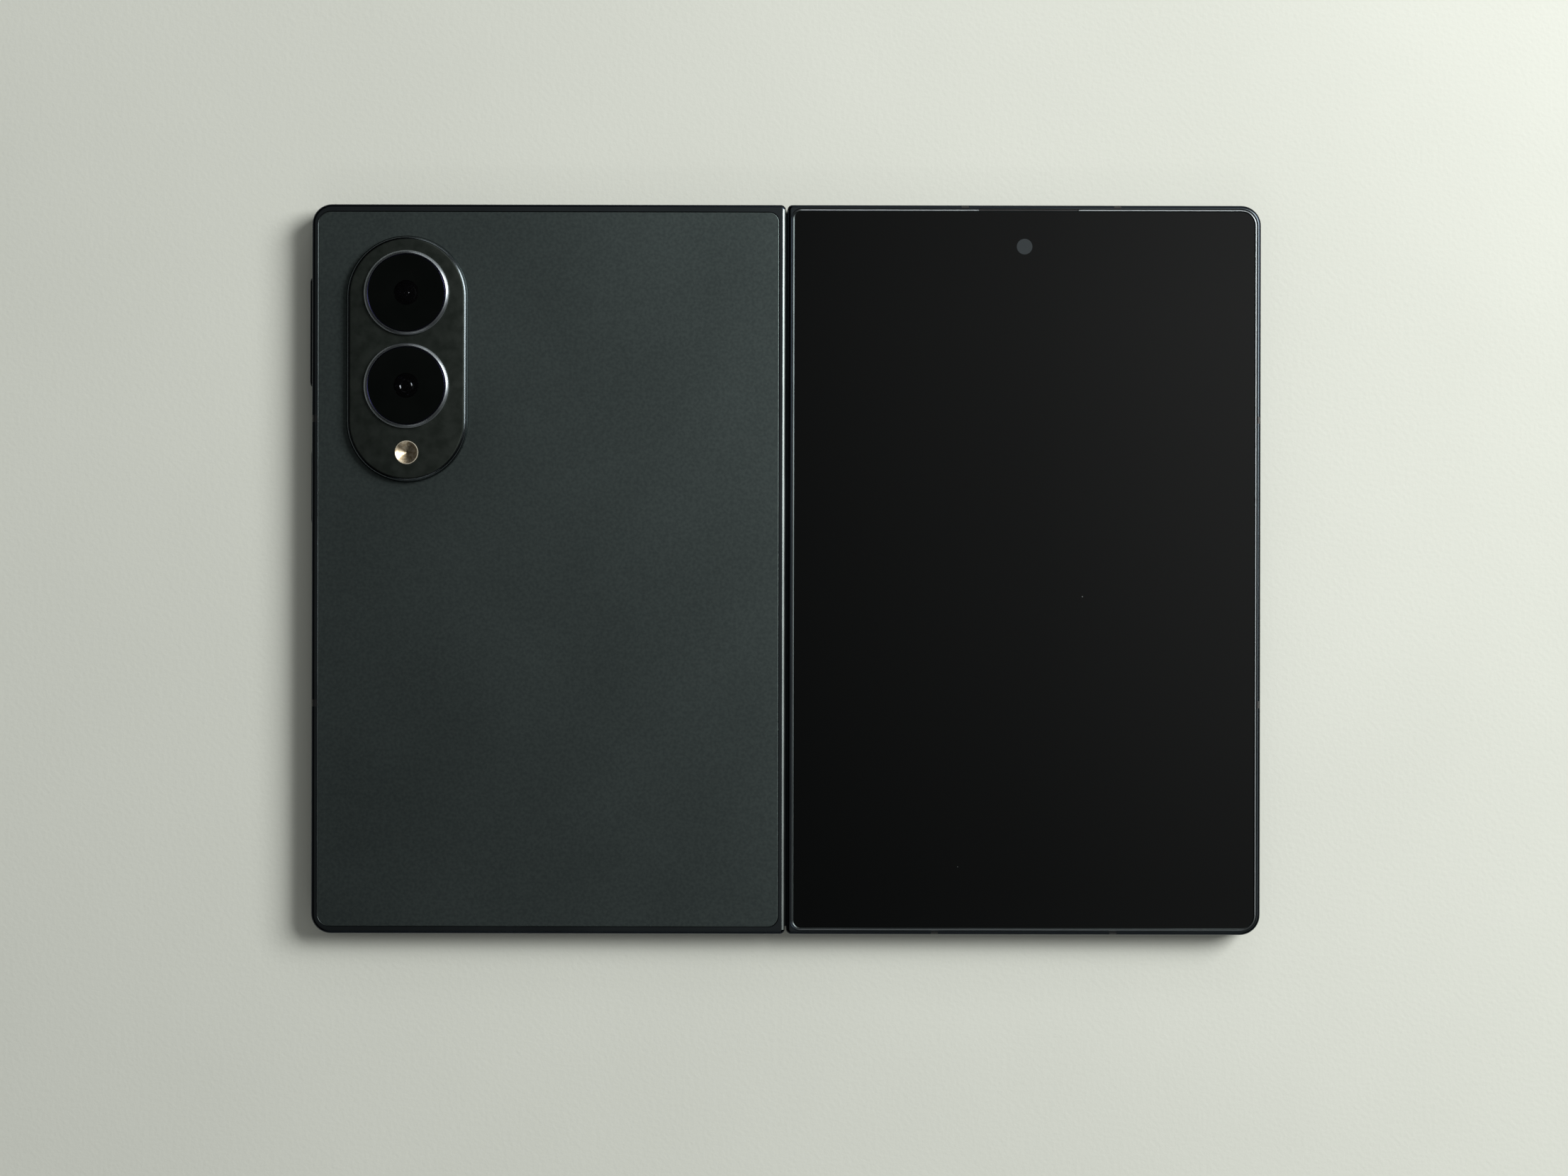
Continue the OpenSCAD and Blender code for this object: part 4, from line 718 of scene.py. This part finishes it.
for name, key in keyPiece["keys"].items():
    face = -keyPiece["side"] - key["out"]
    length, height, r = key["length"], keyPiece["height"], keyPiece["edgeRound"]
    back, flange, more = -keyPiece["flangeBack"], -keyPiece["flangeX"], keyPiece["flangeMore"]
    levels = []
    if key["recess"]:
        deep, inset = key["recess"]["deep"], key["recess"]["inset"]
        wide = keyPiece["mouthMore"]
        levels += [(face + deep, length - inset, height - inset),
                   (face + keyPiece["mouthDeep"], length - inset, height - inset),
                   (face, length - inset + wide, height - inset + wide)]
    for degrees in range(0, 91, keyPiece["roundStep"]):
        turn = math.radians(degrees)
        levels.append((face + r * (1 - math.cos(turn)), length - 2 * r * (1 - math.sin(turn)),
                       height - 2 * r * (1 - math.sin(turn))))
    levels += [(flange, length, height), (flange, length + more, height + more),
               (back, length + more, height + more)]
    loops = [pillOutline(x, key["y"], keyPiece["z"], long, high) for x, long, high in levels]
    piece = skinLoops(name + "_key_body", loops, frameMetalShadedSides, sharp=35)
    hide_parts(key["node"])
    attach(piece, key["body"])
print("keys: both pills are made")


# pale line along the hinge edge of the camera half, a painted highlight: a flat cut at steps of
# tilt about an axis along Y, with a round below it
hingeEdge = {"x": -0.75, "z": 4.3, "radius": 0.625, "under": 0.585,
             "tilts": (20, 27, 34, 41, 48, 78), "y": 61.15}

section = [(hingeEdge["x"] + radius * math.cos(math.radians(tilt)),
            hingeEdge["z"] + radius * math.sin(math.radians(tilt)))
           for radius, tilts in ((hingeEdge["radius"], hingeEdge["tilts"]),
                                 (hingeEdge["under"], hingeEdge["tilts"][::-1]))
           for tilt in tilts]
edgeLine = skinLoops("hinge_edge_painted_highlight", [[(x, end * hingeEdge["y"], z) for x, z in section]
                                           for end in (-1, 1)], paleHighlightMetal)
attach(edgeLine, "main_half")


# fine metal lips beside the covers, sloping in towards them, so that only the side across from the
# key light shines; each is a rounded rectangle with its own corners at hinge and outside
lipPieces = {
    "cover_lip": {"body": "cover_half", "x": (1.24, 79.52), "y": 60.86, "outerCorner": 2.31,
                  "hingeCorner": 1.3, "z": 4.865, "wide": 0.2, "high": 0.075},
    "rear_lip": {"body": "main_half", "x": (-79.48, -1.27), "y": 60.63, "outerCorner": 2.08,
                 "hingeCorner": 1.68, "z": 4.85, "wide": 0.13, "high": 0.05},
}
lipSection = {"sunk": 0.03, "shoulder": 0.7, "crest": 0.42}      # mm, share of high, share of wide


# rounded rectangle as (centre x, centre y, radius, turn) round its four corners
def lipPath(look, steps=12):
    (x0, x1), y = look["x"], look["y"]
    outerIsRight = x1 > 0
    right = look["outerCorner"] if outerIsRight else look["hingeCorner"]
    left = look["hingeCorner"] if outerIsRight else look["outerCorner"]
    path = []
    for cx, cy, r, start in ((x1 - right, y - right, right, 0), (x0 + left, y - left, left, 90),
                             (x0 + left, -y + left, left, 180),
                             (x1 - right, -y + right, right, 270)):
        for i in range(steps + 1):
            path.append((cx, cy, r, math.radians(start + 90 * i / steps)))
    return path


for name, look in lipPieces.items():
    half, high, sunk = look["wide"] / 2, look["high"], -lipSection["sunk"]
    section = [(half, sunk), (half, high * lipSection["shoulder"]),
               (look["wide"] * lipSection["crest"], high), (-half, 0), (-half, sunk)]
    loops = [[(cx + (r + out) * math.cos(turn), cy + (r + out) * math.sin(turn), look["z"] + up)
              for out, up in section] for cx, cy, r, turn in lipPath(look)]
    lip = skinLoops(name, loops, lipMetal, sharp=50, closed=True)
    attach(lip, look["body"])


# folding film and flex in flat strips that end at the middle of the hinge; bendFrom, where a bend
# would start, is not used; their long edges are rounded by a share of their thickness
foldPiece = {"pocket": 4.25, "y": 60.45, "z": (0.3, 0.7), "bendFrom": 2.6, "flexReach": 7.0,
             "flexHalf": 5.0, "flexZ": (1.05, 1.17), "roundShare": 0.25, "roundUpTo": 0.2}


# a strip in small steps across the fold, so that it can bend
def bendingStrip(name, xSpan, yHalf, zSpan, material, steps=48):
    low, high = zSpan
    r = min(high - low, foldPiece["roundUpTo"]) * foldPiece["roundShare"]
    section = [(-yHalf + r, low), (yHalf - r, low), (yHalf, low + r), (yHalf, high - r),
               (yHalf - r, high), (-yHalf + r, high), (-yHalf, high - r), (-yHalf, low + r)]
    loops = []
    for i in range(steps + 1):
        x = xSpan[0] + (xSpan[1] - xSpan[0]) * i / steps
        loops.append([(x, y, z) for y, z in section])
    return skinLoops(name, loops, material)


reach, bendFrom = foldPiece["pocket"], foldPiece["bendFrom"]
filmHalf, filmZ = foldPiece["y"], foldPiece["z"]
mainFilm = bendingStrip("fold_film_main", (-reach, 0), filmHalf, filmZ, displayFilm)
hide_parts("fold_display_main")
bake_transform(mainFilm)
coverFilm = bendingStrip("fold_film_cover", (0, reach), filmHalf, filmZ, displayFilm)
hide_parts("fold_display_cover")
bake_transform(coverFilm)

flexReach, flexHalf, flexZ = (foldPiece[k] for k in ("flexReach", "flexHalf", "flexZ"))
mainFlex = bendingStrip("hinge_flex_main", (-flexReach, 0), flexHalf, flexZ, coilCopper)
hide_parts("hinge_flex")
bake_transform(mainFlex)
coverFlex = bendingStrip("hinge_flex_cover", (0, flexReach), flexHalf, flexZ, coilCopper)
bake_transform(coverFlex)
print("hinge: edge line, lips, folding film and flex are made")


slotFinish = {
    "frame_metal": frameMetalShadedSides, "spine_metal": spineMetal, "break_plastic": breakPlastic,
    "rear_glass": etchedRear, "island_metal": islandMetalShadedEdge, "ring_metal": turnedRings,
    "lens_glass": inkedGlass, "flash_lens": flashCone, "flash_chip": phosphor,
    "camera_housing": cameraPlastic, "circuit_board": boardMask, "shield_steel": stampedSteel,
    "cell_wrap": cellWrap, "copper": coilCopper, "black_plastic": blackPlastic,
    "hinge_steel": hingeSteel, "idler_brass": gearBrass, "display_film": displayFilm,
    "display_panel": panelBlack, "cover_glass": coverGlass, "soft_bezel": bezelRubber,
    "sensor_glass": sensorGlass,
}
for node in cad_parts.values():
    for holder in node.material_slots:
        holder.material = slotFinish[holder.material.name.split(".")[0]]
print("finishes: every CAD node has its own")


# paint on the pale board under the phone: even, a little tooth
floorLook = {"colours": ("#d3d6cc", "#d6d9cf"), "rough": (0.75, 0.85), "grit": 0.8, "relief": 0.03,
             "ior": 1.45, "patchSize": 60}
floorSize = 3.0      # metres from the middle to a side

floorCorners = [(x * floorSize, y * floorSize, 0) for x, y in ((-1, -1), (1, -1), (1, 1), (-1, 1))]
floorMesh = bpy.data.meshes.new("floor")
floorMesh.from_pydata(floorCorners, [], [(0, 1, 2, 3)])
floorMesh.materials.append(mouldedSurface("matPaintPale", **floorLook))
floor = bpy.data.objects.new("floor", floorMesh)
bpy.context.scene.collection.objects.link(floor)

# camera straight above: lengths in mm, turn in degrees; the scale holds at the height glassTop
view = {"height": 460, "aim": (-0.337, -3.13), "turn": 0.11, "imageWidth": 2212,
        "pixelsPerMm": 8.30, "glassTop": 4.3, "sensor": 36}
cameraData = bpy.data.cameras.new("studioCamera")
cameraData.sensor_width = view["sensor"]
cameraData.lens = (view["pixelsPerMm"] * (view["height"] - view["glassTop"]) / view["imageWidth"]
                   * view["sensor"])
camera = bpy.data.objects.new("studioCamera", cameraData)
camera.location = (view["aim"][0] * mm, view["aim"][1] * mm, view["height"] * mm)
camera.rotation_euler = (0, 0, math.radians(view["turn"]))
bpy.context.scene.collection.objects.link(camera)
bpy.context.scene.camera = camera

# soft boxes that look at the middle of the phone: azimuth and elevation in degrees, distance and
# size in metres, power in watts
lamps = {
    "keyBox": {"azimuth": 26, "elevation": 38.5, "distance": 0.9, "size": (0.46, 0.46),
               "watts": 10.2},
    "rimLeft": {"azimuth": 180, "elevation": 30, "distance": 0.9, "size": (0.9, 0.1),
                "watts": 0.04},
    "rimTop": {"azimuth": 77, "elevation": 24, "distance": 0.9, "size": (0.5, 0.16), "watts": 0.6},
    "rimLow": {"azimuth": -90, "elevation": 36, "distance": 0.9, "size": (0.6, 0.1), "watts": 0.3},
}


def softBox(name, azimuth, elevation, distance, size, watts):
    data = bpy.data.lights.new(name, "AREA")
    data.shape = "RECTANGLE"
    data.size, data.size_y = size
    data.energy = watts
    lamp = bpy.data.objects.new(name, data)
    a, e = math.radians(azimuth), math.radians(elevation)
    lamp.location = (distance * math.cos(e) * math.cos(a), distance * math.cos(e) * math.sin(a),
                     distance * math.sin(e))
    lamp.rotation_euler = Vector(lamp.location).to_track_quat("Z", "Y").to_euler()
    lamp.visible_camera = False
    bpy.context.scene.collection.objects.link(lamp)


for name, look in lamps.items():
    softBox(name, **look)

# the room: dim overhead with a paler patch to the right, dimmer towards the lower side of the
# picture, and pale at the horizon for what the camera, glass and metal see of it; across and along
# are (direction, level), and fill is its even level for all other light
roomLight = {"across": ((-0.5, 0.005), (-0.2, 0.008), (-0.05, 0.02), (0.0, 0.11), (0.09, 0.23),
                        (0.17, 0.4), (0.2, 0.42), (0.26, 0.1), (0.5, 0.05)),
             "along": ((-0.11, 0.42), (0.1, 1.0)), "horizon": 0.8, "horizonFrom": 0.22,
             "horizonTo": 0.05, "fill": 0.18, "colour": "#fbfcfa"}
world = bpy.data.worlds.new("studioRoom")
bpy.context.scene.world = world
world.use_nodes = True
tree = world.node_tree
tree.nodes.clear()
direction = addNode(tree, "TexCoord").outputs["Generated"]
split = addNode(tree, "SeparateXYZ", {"Vector": direction})
first, last = roomLight["across"][0][0], roomLight["across"][-1][0]
across = addNode(tree, "MapRange", {"Value": split.outputs["X"], "From Min": first,
                                    "From Max": last})
side = addNode(tree, "ValToRGB", {"Fac": across.outputs["Result"]})
stops = side.color_ramp.elements
stops.remove(stops[1])
for i, (x, level) in enumerate(roomLight["across"]):
    stop = stops.new((x - first) / (last - first)) if i else stops[0]
    stop.color = (level, level, level, 1)
(nearY, nearLevel), (farY, farLevel) = roomLight["along"]
along = addNode(tree, "MapRange", {"Value": split.outputs["Y"], "From Min": nearY,
                                   "From Max": farY, "To Min": nearLevel, "To Max": farLevel})
overhead = addNode(tree, "Math", {0: side.outputs["Color"], 1: along.outputs["Result"]},
                   operation="MULTIPLY")
low = addNode(tree, "MapRange", {"Value": split.outputs["Z"], "From Min": roomLight["horizonFrom"],
                                 "From Max": roomLight["horizonTo"]},
              interpolation_type="SMOOTHSTEP")
seen = addNode(tree, "Mix", {mixBy: low.outputs["Result"], floatA: overhead.outputs[0],
                             floatB: roomLight["horizon"]}, data_type="FLOAT")
path = addNode(tree, "LightPath")
looks = path.outputs["Is Camera Ray"]
for ray in ("Is Glossy Ray", "Is Transmission Ray"):
    looks = addNode(tree, "Math", {0: looks, 1: path.outputs[ray]}, operation="MAXIMUM").outputs[0]
strength = addNode(tree, "Mix", {mixBy: looks, floatA: roomLight["fill"],
                                 floatB: seen.outputs[0]}, data_type="FLOAT")
background = addNode(tree, "Background", {"Color": linear(roomLight["colour"]),
                                          "Strength": strength.outputs[0]})
addNode(tree, "OutputWorld", {"Surface": background.outputs["Background"]})

scene = bpy.context.scene
scene.view_settings.view_transform = "Standard"
print("stage: floor, camera, four lamps and the room are set")
